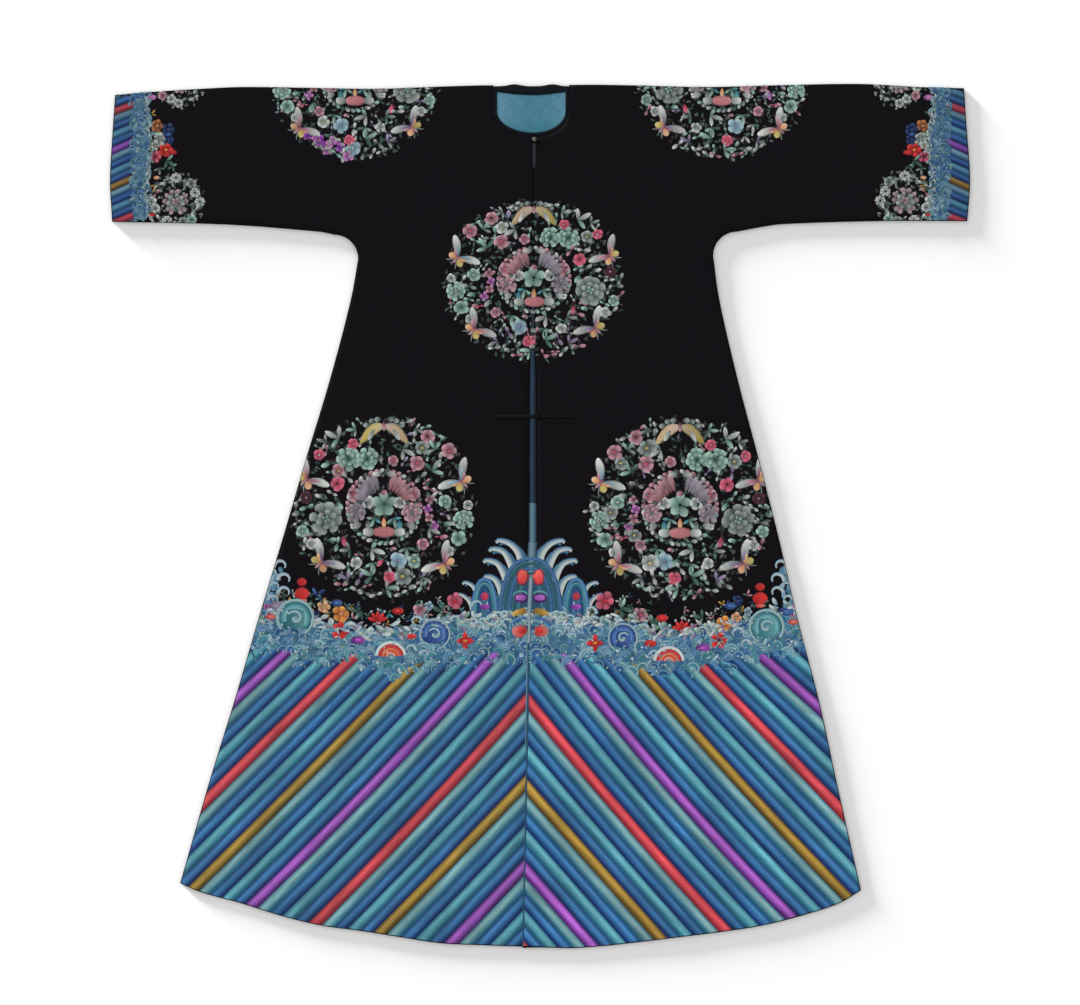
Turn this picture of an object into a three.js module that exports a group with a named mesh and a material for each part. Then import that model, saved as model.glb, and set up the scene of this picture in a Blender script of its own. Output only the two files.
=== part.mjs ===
// A Manchu woman's surcoat laid flat on its back, arms spread and front edges almost closed.
// Each half is one length of satin, folded over the shoulder, that makes front, back and sleeve.
// Millimetres. X runs from cuff to cuff, Y from the hem up to the neck, Z up from the surface.
// In the tables "out" is measured sideways from X = 0 and "down" from the top of the shoulder fold.
import * as THREE from "three";

const coatLength = 1398; // shoulder fold to the lowest point of the hem
const wall = 2; // satin with its lining
const seamGap = 0.3; // between pieces that touch
const chestLevel = 280; // level of the underarms on the centre line
const underarmRadius = 39;
const underFront = wall + seamGap; // height of the front's lower face where it lies on the back

// Neck opening and what is sewn round it
const neckDrop = 79; // shoulder fold to the bottom of the opening
const neckStraight = 44; // where its straight sides end
const neckX = -9.7; // the opening is not quite central
const neckTop = 13; // its upper corners
const neckTopSag = 5; // its upper edge hangs this much lower in the middle
const bindingWidth = 5;
const bindingHeight = 2.4;
const bindingOuter = 4; // outer edge of the strip at the back of the neck
const neckSlack = 0.12; // more room at the neck, where the fronts' edges bend
const liningThick = 1;
const liningTuck = 30; // how far the lining runs on under the fronts
const neckRise = liningThick + seamGap; // the fronts lie this much higher on the lining

// Closures
const buttonRadius = 4.2;
const buttonDown = 90;
const buttonX = -9.2;
const waistDown = 538;

// Grid of each half: columns from centre to cuff
const neckRoundColumns = 6;
const neckSideColumns = 2;
const neckColumns = neckRoundColumns + neckSideColumns;
const bodyColumns = neckColumns + 8;
const underarmColumns = 4;
const sleeveColumns = 9;
const cuffColumn = bodyColumns + underarmColumns + sleeveColumns;
const foldRows = 4;
const frontStep = 50; // most that two rows of the front lie apart
const backStep = 140;

// The two halves as they lie: side -1 is on the left of the view, side 1 on the right
const leftHalf = {
  side: -1,
  neckWidth: 60,
  underarmDown: 283,
  shoulder: [
    { out: 0, down: 3 },
    { out: 97, down: 3 },
    { out: 162, down: 5 },
    { out: 259, down: 8 },
    { out: 388, down: 6 },
    { out: 485, down: 5 },
    { out: 550, down: 8 },
    { out: 631, down: 13 },
    { out: 688, down: 18 },
  ],
  cuff: [
    { down: 16, out: 687 },
    { down: 74, out: 691 },
    { down: 155, out: 695.5 },
    { down: 223, out: 692 },
  ],
  sleeveEdge: [
    { out: 333, down: 244 },
    { out: 351, down: 240 },
    { out: 393, down: 236 },
    { out: 466, down: 230 },
    { out: 550, down: 226 },
    { out: 696, down: 223 },
  ],
  sideSeam: [
    { down: 283, out: 294 },
    { down: 349, out: 306 },
    { down: 479, out: 340 },
    { down: 608, out: 379 },
    { down: 738, out: 417 },
    { down: 867, out: 456 },
    { down: 997, out: 494 },
    { down: 1126, out: 534 },
    { down: 1293, out: 582 },
  ],
  hem: [
    { out: 16, down: 1396 },
    { out: 97, down: 1393 },
    { out: 162, down: 1390 },
    { out: 227, down: 1380 },
    { out: 291, down: 1370 },
    { out: 356, down: 1361 },
    { out: 421, down: 1345 },
    { out: 485, down: 1325 },
    { out: 550, down: 1307 },
    { out: 582, down: 1293 },
  ],
};
const rightHalf = {
  side: 1,
  neckWidth: 51,
  underarmDown: 278,
  shoulder: [
    { out: 0, down: 3 },
    { out: 97, down: 2 },
    { out: 259, down: 5 },
    { out: 388, down: 2 },
    { out: 518, down: 0 },
    { out: 615, down: 5 },
    { out: 686, down: 7 },
  ],
  cuff: [
    { down: 7, out: 686 },
    { down: 58, out: 689 },
    { down: 155, out: 695.5 },
    { down: 222, out: 691 },
  ],
  sleeveEdge: [
    { out: 319, down: 239 },
    { out: 356, down: 232 },
    { out: 392, down: 227 },
    { out: 550, down: 222 },
    { out: 696, down: 222 },
  ],
  sideSeam: [
    { down: 278, out: 280 },
    { down: 349, out: 290 },
    { down: 479, out: 320 },
    { down: 608, out: 354 },
    { down: 738, out: 387 },
    { down: 867, out: 417 },
    { down: 997, out: 451 },
    { down: 1126, out: 479 },
    { down: 1304, out: 519 },
  ],
  hem: [
    { out: 16, down: 1397 },
    { out: 49, down: 1398 },
    { out: 97, down: 1395 },
    { out: 162, down: 1388 },
    { out: 227, down: 1380 },
    { out: 291, down: 1372 },
    { out: 356, down: 1362 },
    { out: 421, down: 1346 },
    { out: 485, down: 1325 },
    { out: 519, down: 1304 },
  ],
};

// The left front's edge, and the width of the blue strip between it and the right front
const frontEdge = [
  { down: 60, x: -9.9, strip: 0 },
  { down: 310, x: -10.4, strip: 0 },
  { down: 345, x: -13.6, strip: 5 },
  { down: 425, x: -15.6, strip: 7 },
  { down: 477, x: -17.4, strip: 11.3 },
  { down: 500, x: -17.6, strip: 11.5 },
  { down: 738, x: -17.9, strip: 11.9 },
  { down: 775, x: -20.4, strip: 14 },
  { down: 850, x: -19.4, strip: 4.5 },
  { down: 905, x: -18.6, strip: 1.6 },
  { down: 960, x: -18.5, strip: 0 },
  { down: coatLength, x: -27.8, strip: 0 },
];
const stripFrom = 322;
const stripTo = 905;

// Soft waves of the fronts: middle, half length and width, turn in degrees and height
const waves = [
  { x: -235, down: 330, long: 150, wide: 55, turn: -60, high: 1.1 },
  { x: 225, down: 335, long: 150, wide: 55, turn: 62, high: 1.1 },
  { x: -330, down: 700, long: 230, wide: 65, turn: -72, high: 1.2 },
  { x: 300, down: 690, long: 230, wide: 65, turn: 74, high: 1.2 },
  { x: -170, down: 820, long: 260, wide: 60, turn: -86, high: 0.9 },
  { x: 150, down: 850, long: 260, wide: 60, turn: 87, high: 0.9 },
  { x: -430, down: 1180, long: 170, wide: 65, turn: -74, high: 1.3 },
  { x: -250, down: 1230, long: 190, wide: 60, turn: -82, high: 1.1 },
  { x: 240, down: 1220, long: 190, wide: 60, turn: 82, high: 1.2 },
  { x: 400, down: 1170, long: 170, wide: 65, turn: 75, high: 1.2 },
  { x: -500, down: 140, long: 160, wide: 60, turn: 8, high: 1.0 },
  { x: 500, down: 140, long: 160, wide: 60, turn: -8, high: 1.0 },
];

// Cords laid across the fronts, one section a row
const loopCord = [
  { x: -80, half: 1.6, high: 1.2 },
  { x: -77, half: 2.8, high: 1.9 },
  { x: -40, half: 2.8, high: 2 },
  { x: -10.5, half: 2.8, high: 2 },
  { x: -8.3, half: 1.8, high: 1.4 },
];
const knotCord = [
  { x: -7.9, half: 1.2, high: 2 },
  { x: -6.4, half: 3, high: 4.6 },
  { x: -4, half: 3.7, high: 5.4 },
  { x: -1.6, half: 3, high: 4.6 },
  { x: 0.4, half: 2, high: 2 },
  { x: 30, half: 2.1, high: 1.8 },
  { x: 61, half: 2.1, high: 1.8 },
  { x: 64, half: 1.2, high: 1.1 },
];

// The tab under the neck button, one section a row
const tab = [
  { down: 96, half: 2.2, high: 1.1 },
  { down: 98, half: 3.6, high: 1.6 },
  { down: 128, half: 3.6, high: 1.6 },
  { down: 136, half: 1.8, high: 1 },
];

const { lerp, clamp, degToRad, smoothstep } = THREE.MathUtils;
const yOf = (down) => coatLength / 2 - down;

// The row of a table that starts the stretch around a value
function rowBefore(rows, from, at) {
  let k = 0;
  while (k < rows.length - 2 && at > rows[k + 1][from]) k += 1;
  return k;
}

// A smooth curve through a table's rows, as a function from one column to another
function smooth(rows, from, to) {
  return (at) => {
    const k = rowBefore(rows, from, at);
    const slope = (i, j) => (rows[j][to] - rows[i][to]) / (rows[j][from] - rows[i][from]);
    const width = rows[k + 1][from] - rows[k][from];
    const t = clamp((at - rows[k][from]) / width, 0, 1);
    const startSlope = slope(Math.max(k - 1, 0), k + 1) * width;
    const endSlope = slope(k, Math.min(k + 2, rows.length - 1)) * width;
    const lean = t * (1 - t) * ((1 - t) * startSlope - t * endSlope);
    return lerp(rows[k][to], rows[k + 1][to], t * t * (3 - 2 * t)) + lean;
  };
}

// The same with straight stretches, for an edge with corners
function straight(rows, from, to) {
  return (at) => {
    const k = rowBefore(rows, from, at);
    const t = (at - rows[k][from]) / (rows[k + 1][from] - rows[k][from]);
    return lerp(rows[k][to], rows[k + 1][to], clamp(t, 0, 1));
  };
}

const leftEdgeX = straight(frontEdge, "down", "x");
const stripWidth = straight(frontEdge, "down", "strip");
const centreSeamX = (down) => lerp(neckX, frontEdge.at(-1).x, down / coatLength);

// Centre edge of a front: the right one lies past the blue strip and its gaps
function frontEdgeX(side, down) {
  if (side < 0) return leftEdgeX(down);
  const width = stripWidth(down);
  return leftEdgeX(down) + seamGap + (width > 0 ? width + seamGap : 0);
}

// Levels from one depth to another through the front edge's corners, at most a step apart
function levels(from, to, step) {
  const corners = frontEdge.map((row) => row.down).filter((down) => down > from && down < to);
  const list = [from];
  for (const next of [...corners, to]) {
    const start = list.at(-1);
    const count = Math.ceil((next - start) / step);
    for (let k = 1; k <= count; k += 1) list.push(lerp(start, next, k / count));
  }
  return list;
}

// Height of the front's lower face: on the back, over the lining at the neck, and in soft waves
function frontUnder(x, down) {
  const fromNeck = Math.hypot(x - neckX, down);
  const rise = neckRise * (1 - smoothstep(fromNeck, 170, 300));
  const besideCentre = smoothstep(Math.abs(x - neckX), 60, 160);
  let lift = 0;
  for (const wave of waves) {
    const angle = degToRad(wave.turn);
    const dx = x - wave.x;
    const dy = wave.down - down;
    const lengthwise = (dx * Math.cos(angle) + dy * Math.sin(angle)) / wave.long;
    const across = (dy * Math.cos(angle) - dx * Math.sin(angle)) / wave.wide;
    lift += wave.high * Math.exp(-(lengthwise ** 2) - across ** 2);
  }
  return underFront + rise + lift * besideCentre * (1 - rise / neckRise);
}

function geometryOf(positions, index) {
  const geometry = new THREE.BufferGeometry();
  geometry.setAttribute("position", new THREE.Float32BufferAttribute(positions, 3));
  geometry.setIndex(index);
  geometry.computeVertexNormals();
  return geometry;
}

// A closed wall from a sheet: each point moves half the thickness both ways along its own
// outward direction, and a rim joins the open edges
function closedWall(points, directions, faces, thickness) {
  const positions = [];
  for (const way of [1, -1]) {
    points.forEach((point, k) => {
      const moved = point.clone().addScaledVector(directions[k], (way * thickness) / 2);
      positions.push(moved.x, moved.y, moved.z);
    });
  }
  const count = points.length;
  const index = [];
  const edges = new Map();
  for (const [a, b, c, d] of faces) {
    index.push(a, b, c, a, c, d);
    index.push(a + count, c + count, b + count, a + count, d + count, c + count);
    for (const [p, q] of [[a, b], [b, c], [c, d], [d, a]]) edges.set(`${p} ${q}`, [p, q]);
  }
  for (const [p, q] of edges.values()) {
    if (edges.has(`${q} ${p}`)) continue;
    index.push(q, p, p + count, q, p + count, q + count);
  }
  return geometryOf(positions, index);
}

// A closed body through sections of equal point counts, joined in a loop or capped
function throughSections(sections, isLoop) {
  const size = sections[0].length;
  const positions = sections.flat().flatMap((point) => point.toArray());
  const index = [];
  const steps = isLoop ? sections.length : sections.length - 1;
  for (let k = 0; k < steps; k += 1) {
    const next = (k + 1) % sections.length;
    for (let i = 0; i < size; i += 1) {
      const j = (i + 1) % size;
      const [a, b, c, d] = [k * size + i, k * size + j, next * size + j, next * size + i];
      index.push(a, b, c, a, c, d);
    }
  }
  const end = (sections.length - 1) * size;
  for (let i = 1; i + 1 < size && !isLoop; i += 1) {
    index.push(0, i + 1, i);
    index.push(end, end + i, end + i + 1);
  }
  return geometryOf(positions, index);
}

// A low rounded section from one side to the other, standing on a height of its own
function lowSection(from, to, bottom, high) {
  const shape = [
    { across: 0, up: 0 },
    { across: 1, up: 0 },
    { across: 1, up: 0.6 },
    { across: 0.78, up: 1 },
    { across: 0.22, up: 1 },
    { across: 0, up: 0.6 },
  ];
  return shape.map(({ across, up }) => {
    const y = yOf(lerp(from.down, to.down, across));
    return new THREE.Vector3(lerp(from.x, to.x, across), y, bottom + up * high);
  });
}

// A point of the neck opening's edge, grown outwards. Turn 0 is the bottom, 1 the end of the
// rounded quarter and 2 the shoulder, on the given side
function neckPoint(side, turn, grow, top) {
  const width = (side < 0 ? leftHalf : rightHalf).neckWidth + grow;
  if (turn > 1) return { x: neckX + side * width, down: lerp(neckStraight, top, turn - 1) };
  const angle = (turn * Math.PI) / 2;
  const deep = neckDrop - neckStraight + grow;
  return {
    x: neckX + side * width * Math.sin(angle),
    down: neckStraight + deep * Math.cos(angle),
  };
}

function neckTurns() {
  const turns = [];
  for (let k = 0; k < neckRoundColumns; k += 1) turns.push(k / neckRoundColumns);
  for (let k = 0; k <= neckSideColumns; k += 1) turns.push(1 + k / neckSideColumns);
  return turns;
}

// One half of the coat as a sheet, then as a wall
function coatHalf(half) {
  const { side } = half;
  const shoulderDown = smooth(half.shoulder, "out", "down");
  const cuffOut = smooth(half.cuff, "down", "out");
  const sleeveDown = smooth(half.sleeveEdge, "out", "down");
  const sideOut = smooth(half.sideSeam, "down", "out");
  const hemDown = smooth(half.hem, "out", "down");
  const sideStart = sideOut(half.underarmDown);
  const sideEnd = half.sideSeam.at(-1).out;
  const foldInset = wall + seamGap / 2; // the fold's outer face lies this far beyond the last row
  const neckGrow = bindingWidth + seamGap + neckSlack;
  const neckCorner = neckPoint(side, 1, neckGrow, 0).x;
  const turns = neckTurns();

  // How far along the sleeve a column lies, 0 at the side seam's line and 1 at the cuff
  const sleeveShare = (column) => {
    const past = (column - bodyColumns) / underarmColumns;
    const bend = underarmRadius / (half.cuff.at(-1).out - sideStart);
    if (past <= 1) return bend * (1 - Math.cos((past * Math.PI) / 2));
    return lerp(bend, 1, (column - bodyColumns - underarmColumns) / sleeveColumns);
  };

  // Top end of a column: on the neck's edge or on the shoulder fold
  const topOf = (column, isFront, edgeX) => {
    if (column < neckColumns && isFront) {
      const top = shoulderDown(Math.abs(neckCorner)) + foldInset;
      const point = neckPoint(side, turns[column], neckGrow, top);
      const stretch = (neckCorner - edgeX(point.down)) / (neckCorner - neckX);
      return { x: neckCorner - (neckCorner - point.x) * stretch, down: point.down };
    }
    let x = side * lerp(sideStart, half.cuff[0].out, sleeveShare(column));
    if (column < neckColumns) {
      x = lerp(edgeX(0), neckCorner, column / neckColumns);
    } else if (column <= bodyColumns) {
      const share = (column - neckColumns) / (bodyColumns - neckColumns);
      x = lerp(neckCorner, side * sideStart, share);
    }
    return { x, down: shoulderDown(Math.abs(x)) + foldInset };
  };

  // Bottom end of a column of the shoulder part: at chest level, round the underarm, then along
  // the sleeve's lower edge
  const bottomOf = (column, edgeX) => {
    const across = column / bodyColumns;
    if (across <= 1) {
      const x = lerp(edgeX(chestLevel), side * sideStart, across);
      return { x, down: lerp(chestLevel, half.underarmDown, across) };
    }
    const out = lerp(sideStart, half.cuff.at(-1).out, sleeveShare(column));
    const past = (column - bodyColumns) / underarmColumns;
    const rise = underarmRadius * Math.sin((past * Math.PI) / 2);
    return { x: side * out, down: past < 1 ? half.underarmDown - rise : sleeveDown(out) };
  };

  const shoulderPoint = (column, share, isFront, edgeX) => {
    const top = topOf(column, isFront, edgeX);
    const bottom = bottomOf(column, edgeX);
    const down = lerp(top.down, bottom.down, share);
    if (column === 0) return { x: edgeX(down), down };
    if (column === cuffColumn) return { x: side * cuffOut(down), down };
    return { x: lerp(top.x, bottom.x, share), down };
  };
  const bodyPoint = (column, share, edgeX) => {
    const across = column / bodyColumns;
    const endX = lerp(edgeX(coatLength), side * sideEnd, across);
    const start = lerp(chestLevel, half.underarmDown, across);
    const down = lerp(start, hemDown(Math.abs(endX)), share);
    return { x: lerp(edgeX(down), side * sideOut(down), across), down };
  };

  // Rows from the front hem over the fold to the back hem, each from the centre outwards
  const points = [];
  const directions = [];
  const rows = [];
  const add = (x, down, z, direction) => {
    points.push(new THREE.Vector3(x, yOf(down), z));
    directions.push(direction);
    return points.length - 1;
  };
  const addRow = (first, last, make) => {
    const line = new Array(first).fill(-1);
    for (let column = first; column <= last; column += 1) line.push(make(column));
    rows.push({ line, first });
  };
  const outUp = new THREE.Vector3(0, 0, 1);
  const outDown = new THREE.Vector3(0, 0, -1);
  const frontX = (down) => frontEdgeX(side, down);
  const backX = (down) => centreSeamX(down) + (side * seamGap) / 2;
  const frontVertex = ({ x, down }) => add(x, down, frontUnder(x, down) + wall / 2, outUp);
  const backVertex = ({ x, down }) => add(x, down, wall / 2, outDown);
  const shares = (from, to, step) => levels(from, to, step).map((down) => (down - from) / (to - from));
  for (const share of shares(chestLevel, coatLength, frontStep).slice(1).reverse()) {
    addRow(0, bodyColumns, (column) => frontVertex(bodyPoint(column, share, frontX)));
  }
  for (const share of shares(neckDrop + neckGrow, chestLevel, frontStep).reverse()) {
    addRow(0, cuffColumn, (column) => frontVertex(shoulderPoint(column, share, true, frontX)));
  }
  for (let row = 1; row < foldRows; row += 1) {
    const angle = (row / foldRows) * Math.PI;
    const direction = new THREE.Vector3(0, Math.sin(angle), Math.cos(angle));
    addRow(neckColumns, cuffColumn, (column) => {
      const { x, down } = shoulderPoint(column, 0, true, frontX);
      const radius = frontUnder(x, down) / 2;
      const z = wall / 2 + radius + radius * Math.cos(angle);
      return add(x, down - radius * Math.sin(angle), z, direction);
    });
  }
  for (const share of shares(0, chestLevel, backStep)) {
    addRow(0, cuffColumn, (column) => backVertex(shoulderPoint(column, share, false, backX)));
  }
  for (const share of shares(chestLevel, coatLength, backStep).slice(1)) {
    addRow(0, bodyColumns, (column) => backVertex(bodyPoint(column, share, backX)));
  }

  const faces = [];
  for (let k = 0; k + 1 < rows.length; k += 1) {
    const lower = rows[k].line;
    const upper = rows[k + 1].line;
    const last = Math.min(lower.length, upper.length) - 1;
    for (let column = Math.max(rows[k].first, rows[k + 1].first); column < last; column += 1) {
      const face = [lower[column], lower[column + 1], upper[column + 1], upper[column]];
      faces.push(side > 0 ? face : face.reverse());
    }
  }
  return closedWall(points, directions, faces, wall);
}

// The bias strip round the neck: a closed loop, with two small rises of its back edge
function neckBinding() {
  const rises = [
    { x: -41, high: 3.2 },
    { x: 20, high: 3.2 },
  ];
  const riseWidth = 13;
  const backSpans = 14;
  const bottom = wall + seamGap + neckRise;
  const sections = [];
  const add = (inner, outer) => sections.push(lowSection(outer, inner, bottom, bindingHeight));
  const addFront = (side, turn) => {
    add(neckPoint(side, turn, 0, neckTop), neckPoint(side, turn, bindingWidth, bindingOuter));
  };
  for (const turn of neckTurns()) addFront(1, turn);
  for (let k = 1; k < backSpans; k += 1) {
    const share = k / backSpans;
    const edge = (grow) => lerp(neckPoint(1, 1, grow, 0).x, neckPoint(-1, 1, grow, 0).x, share);
    const x = edge(bindingWidth);
    let rise = 0;
    for (const bump of rises) rise += bump.high * Math.exp(-(((x - bump.x) / riseWidth) ** 2));
    const sag = neckTopSag * Math.sin(share * Math.PI);
    add({ x: edge(0), down: neckTop + sag }, { x, down: bindingOuter - rise });
  }
  for (const turn of neckTurns().slice(1).reverse()) addFront(-1, turn);
  return throughSections(sections, true);
}

// The blue lining of the back, seen in the neck opening and tucked under the fronts around it
function neckLining() {
  const top = 10; // clear of the fold
  const turns = [0, 0.2, 0.4, 0.6, 0.8, 1, 2];
  const edge = (side) => turns.map((turn) => neckPoint(side, turn, liningTuck, top));
  const outline = [...edge(1), ...edge(-1).slice(1).reverse()];
  const shape = new THREE.Shape(outline.map(({ x, down }) => new THREE.Vector2(x, yOf(down))));
  const geometry = new THREE.ExtrudeGeometry(shape, { depth: liningThick, bevelEnabled: false });
  return geometry.translate(0, 0, underFront);
}

// The blue strip along the right front's edge, seen where the fronts part
function edgeStrip() {
  const sections = levels(stripFrom, stripTo, frontStep).map((down) => {
    const x = leftEdgeX(down) + seamGap;
    const bottom = frontUnder(x, down);
    return lowSection({ x, down }, { x: x + stripWidth(down), down }, bottom, wall);
  });
  return throughSections(sections, false);
}

// A cord or tab laid on the fronts, along X or along the closure
function cordAcross(rows, down) {
  const sections = rows.map(({ x, half, high }) => {
    const bottom = frontUnder(x, down) + wall + seamGap;
    return lowSection({ x, down: down - half }, { x, down: down + half }, bottom, high);
  });
  return throughSections(sections.reverse(), false);
}
function tabAlong(rows, x) {
  const sections = rows.map(({ down, half, high }) => {
    const bottom = frontUnder(x, down) + wall + seamGap;
    return lowSection({ x: x - half, down }, { x: x + half, down }, bottom, high);
  });
  return throughSections(sections, false);
}

// Fabrics and metal
const satin = { color: 0x141218, roughness: 0.45, metalness: 0 };
const blueSilk = { color: 0x4a8296, roughness: 0.5, metalness: 0 };
const pipingSilk = { color: 0x3c5f73, roughness: 0.55, metalness: 0 };
const blackCord = { color: 0x101014, roughness: 0.7, metalness: 0 };
const brass = { color: 0xa08c5a, roughness: 0.35, metalness: 1 };

const coat = new THREE.Group();
function addPiece(name, geometry, look) {
  const mesh = new THREE.Mesh(geometry, new THREE.MeshStandardMaterial(look));
  mesh.name = name;
  coat.add(mesh);
  return mesh;
}
addPiece("coat_left", coatHalf(leftHalf), satin);
addPiece("coat_right", coatHalf(rightHalf), satin);
addPiece("neck_lining", neckLining(), blueSilk);
addPiece("neck_binding", neckBinding(), blackCord);
addPiece("front_edge_strip", edgeStrip(), pipingSilk);
const button = addPiece("neck_button", new THREE.SphereGeometry(buttonRadius, 20, 14), brass);
const buttonBase = frontUnder(buttonX, buttonDown) + wall + seamGap;
button.position.set(buttonX, yOf(buttonDown), buttonBase + buttonRadius);
addPiece("neck_button_tab", tabAlong(tab, buttonX), blackCord);
addPiece("waist_loop", cordAcross(loopCord, waistDown), blackCord);
addPiece("waist_knot", cordAcross(knotCord, waistDown), blackCord);

export default coat;
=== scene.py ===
import math

import bpy
import numpy as np
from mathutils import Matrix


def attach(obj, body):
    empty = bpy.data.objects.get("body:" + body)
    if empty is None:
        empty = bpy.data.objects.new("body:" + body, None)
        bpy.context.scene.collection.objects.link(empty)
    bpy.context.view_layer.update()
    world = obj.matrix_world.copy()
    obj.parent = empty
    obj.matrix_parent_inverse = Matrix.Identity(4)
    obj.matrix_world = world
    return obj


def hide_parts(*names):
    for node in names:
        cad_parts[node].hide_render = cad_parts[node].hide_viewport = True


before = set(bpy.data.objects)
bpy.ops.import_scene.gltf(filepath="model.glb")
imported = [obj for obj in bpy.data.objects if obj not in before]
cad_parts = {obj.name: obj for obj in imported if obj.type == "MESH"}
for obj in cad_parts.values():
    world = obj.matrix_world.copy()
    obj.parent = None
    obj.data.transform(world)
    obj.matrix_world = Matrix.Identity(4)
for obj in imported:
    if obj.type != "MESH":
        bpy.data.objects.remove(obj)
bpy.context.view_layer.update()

# A Manchu woman's surcoat laid flat on its back. Lengths here are millimetres and turn into
# metres when a mesh is made. x runs from cuff to cuff and "down" from the shoulder fold to the hem.
# A down value above the fold's row runs on over the fold and along the back.

coat = {
    "length": 1398.0,
    "wall": 2.0,           # satin and lining together
    "seamGap": 0.3,
    "backSkin": 0.35,      # the back's satin lies this far up, so that its embroidery lies flat
    "neckX": -9.7,
    "neckRise": 1.3,       # the fronts lie on the lining round the neck
    "chestDown": 280.0,
    "underarmRadius": 39.0,
    "step": 11.0,          # grid of the cloth
    "neckCells": (18, 6),  # grid columns round the neck's bottom and up its side
    "armCells": 12,        # grid columns round the underarm
    "foldRows": 9,         # rows of points round the fold, with both ends
}
neck = {"drop": 79.0, "straight": 44.0, "top": 13.0, "sag": 5.0, "leftWidth": 60.0, "rightWidth": 51.0,
        "binding": 5.0, "grow": 5.42}

# Outlines of the two halves: shoulder, sleeve and hem as (out, down), cuff and side as (down, out)
leftCut = {
    "side": -1, "underarm": 283.0,
    "shoulder": [(0, 3), (97, 3), (162, 5), (259, 8), (388, 6), (485, 5), (550, 8), (631, 13), (688, 18)],
    "cuff": [(16, 687), (74, 691), (155, 695.5), (223, 692)],
    "sleeve": [(333, 244), (351, 240), (393, 236), (466, 230), (550, 226), (696, 223)],
    "seam": [(283, 294), (349, 306), (479, 340), (608, 379), (738, 417), (867, 456), (997, 494),
             (1126, 534), (1293, 582)],
    "hem": [(16, 1396), (97, 1393), (162, 1390), (227, 1380), (291, 1370), (356, 1361), (421, 1345),
            (485, 1325), (550, 1307), (582, 1293)],
}
rightCut = {
    "side": 1, "underarm": 278.0,
    "shoulder": [(0, 3), (97, 2), (259, 5), (388, 2), (518, 0), (615, 5), (686, 7)],
    "cuff": [(7, 686), (58, 689), (155, 695.5), (222, 691)],
    "sleeve": [(319, 239), (356, 232), (392, 227), (550, 222), (696, 222)],
    "seam": [(278, 280), (349, 290), (479, 320), (608, 354), (738, 387), (867, 417), (997, 451),
             (1126, 479), (1304, 519)],
    "hem": [(16, 1397), (49, 1398), (97, 1395), (162, 1388), (227, 1380), (291, 1372), (356, 1362),
            (421, 1346), (485, 1325), (519, 1304)],
}
# The left front's edge and the blue strip beside it: down, x, width of the strip
frontEdge = np.array([(60, -9.9, 0), (310, -10.4, 0), (345, -13.6, 5), (425, -15.6, 7), (477, -17.4, 11.3),
                      (500, -17.6, 11.5), (738, -17.9, 11.9), (775, -20.4, 14), (850, -19.4, 4.5),
                      (905, -18.6, 1.6), (960, -18.5, 0), (1398, -27.8, 0)], float)
# Soft waves of the fronts: x, down, half length, half width, turn in degrees, height
waves = np.array([
    (-235, 330, 150, 55, -60, 1.1), (225, 335, 150, 55, 62, 1.1),
    (-330, 700, 230, 65, -72, 1.2), (300, 690, 230, 65, 74, 1.2),
    (-170, 820, 260, 60, -86, 0.9), (150, 850, 260, 60, 87, 0.9),
    (-430, 1180, 170, 65, -74, 1.3), (-250, 1230, 190, 60, -82, 1.1),
    (240, 1220, 190, 60, 82, 1.2), (400, 1170, 170, 65, 75, 1.2),
    (-500, 140, 160, 60, 8, 1.0), (500, 140, 160, 60, -8, 1.0)])


def smoothThrough(rows, at):
    # A cubic through a table's rows, its slope at each row the mean of its neighbours
    rows = np.asarray(rows, float)
    at = np.asarray(at, float)
    k = np.clip(np.searchsorted(rows[:, 0], at) - 1, 0, len(rows) - 2)
    slope = lambda i, j: (rows[j, 1] - rows[i, 1]) / (rows[j, 0] - rows[i, 0])
    width = rows[k + 1, 0] - rows[k, 0]
    t = np.clip((at - rows[k, 0]) / width, 0, 1)
    start = slope(np.maximum(k - 1, 0), k + 1) * width
    end = slope(k, np.minimum(k + 2, len(rows) - 1)) * width
    bend = t * t * (3 - 2 * t)
    return rows[k, 1] * (1 - bend) + rows[k + 1, 1] * bend + t * (1 - t) * ((1 - t) * start - t * end)


def smoothStep(value, low, high):
    # 0 below low, 1 above high, and 3 t^2 - 2 t^3 between them
    t = np.clip((value - low) / (high - low), 0, 1)
    return t * t * (3 - 2 * t)


def mix(a, b, share):
    # From a towards b by a share
    return a + (b - a) * share


def toSpace(x, down, z):
    # Cloth coordinates to points, still in millimetres, with y = 0 at half the coat's length
    return np.stack([x, coat["length"] / 2 - down, z], axis=-1)


def gridQuads(index):
    # A face for each cell of a grid of point numbers
    return np.stack([index[:-1, :-1], index[:-1, 1:], index[1:, 1:], index[1:, :-1]], axis=-1).reshape(-1, 4)


def frontUnder(x, down):
    # Height of the front's lower face: the back, the lining's rise at the neck, soft waves
    rise = coat["neckRise"] * (1 - smoothStep(np.hypot(x - coat["neckX"], down), 170, 300))
    lift = np.zeros(np.broadcast(x, down).shape)
    for waveX, waveDown, long, wide, turn, high in waves:
        c, s = math.cos(math.radians(turn)), math.sin(math.radians(turn))
        dx, dy = x - waveX, waveDown - down
        lift = lift + high * np.exp(-((dx * c + dy * s) / long) ** 2 - ((dy * c - dx * s) / wide) ** 2)
    beside = smoothStep(np.abs(x - coat["neckX"]), 60, 160)
    return coat["wall"] + coat["seamGap"] + rise + lift * beside * (1 - rise / coat["neckRise"])


def leftEdgeX(down):
    # The left front's edge, straight between the rows of its table
    return np.interp(down, frontEdge[:, 0], frontEdge[:, 1])


def stripWidth(down):
    # Width of the blue strip beside that edge, 0 where there is none
    return np.interp(down, frontEdge[:, 0], frontEdge[:, 2])


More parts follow.
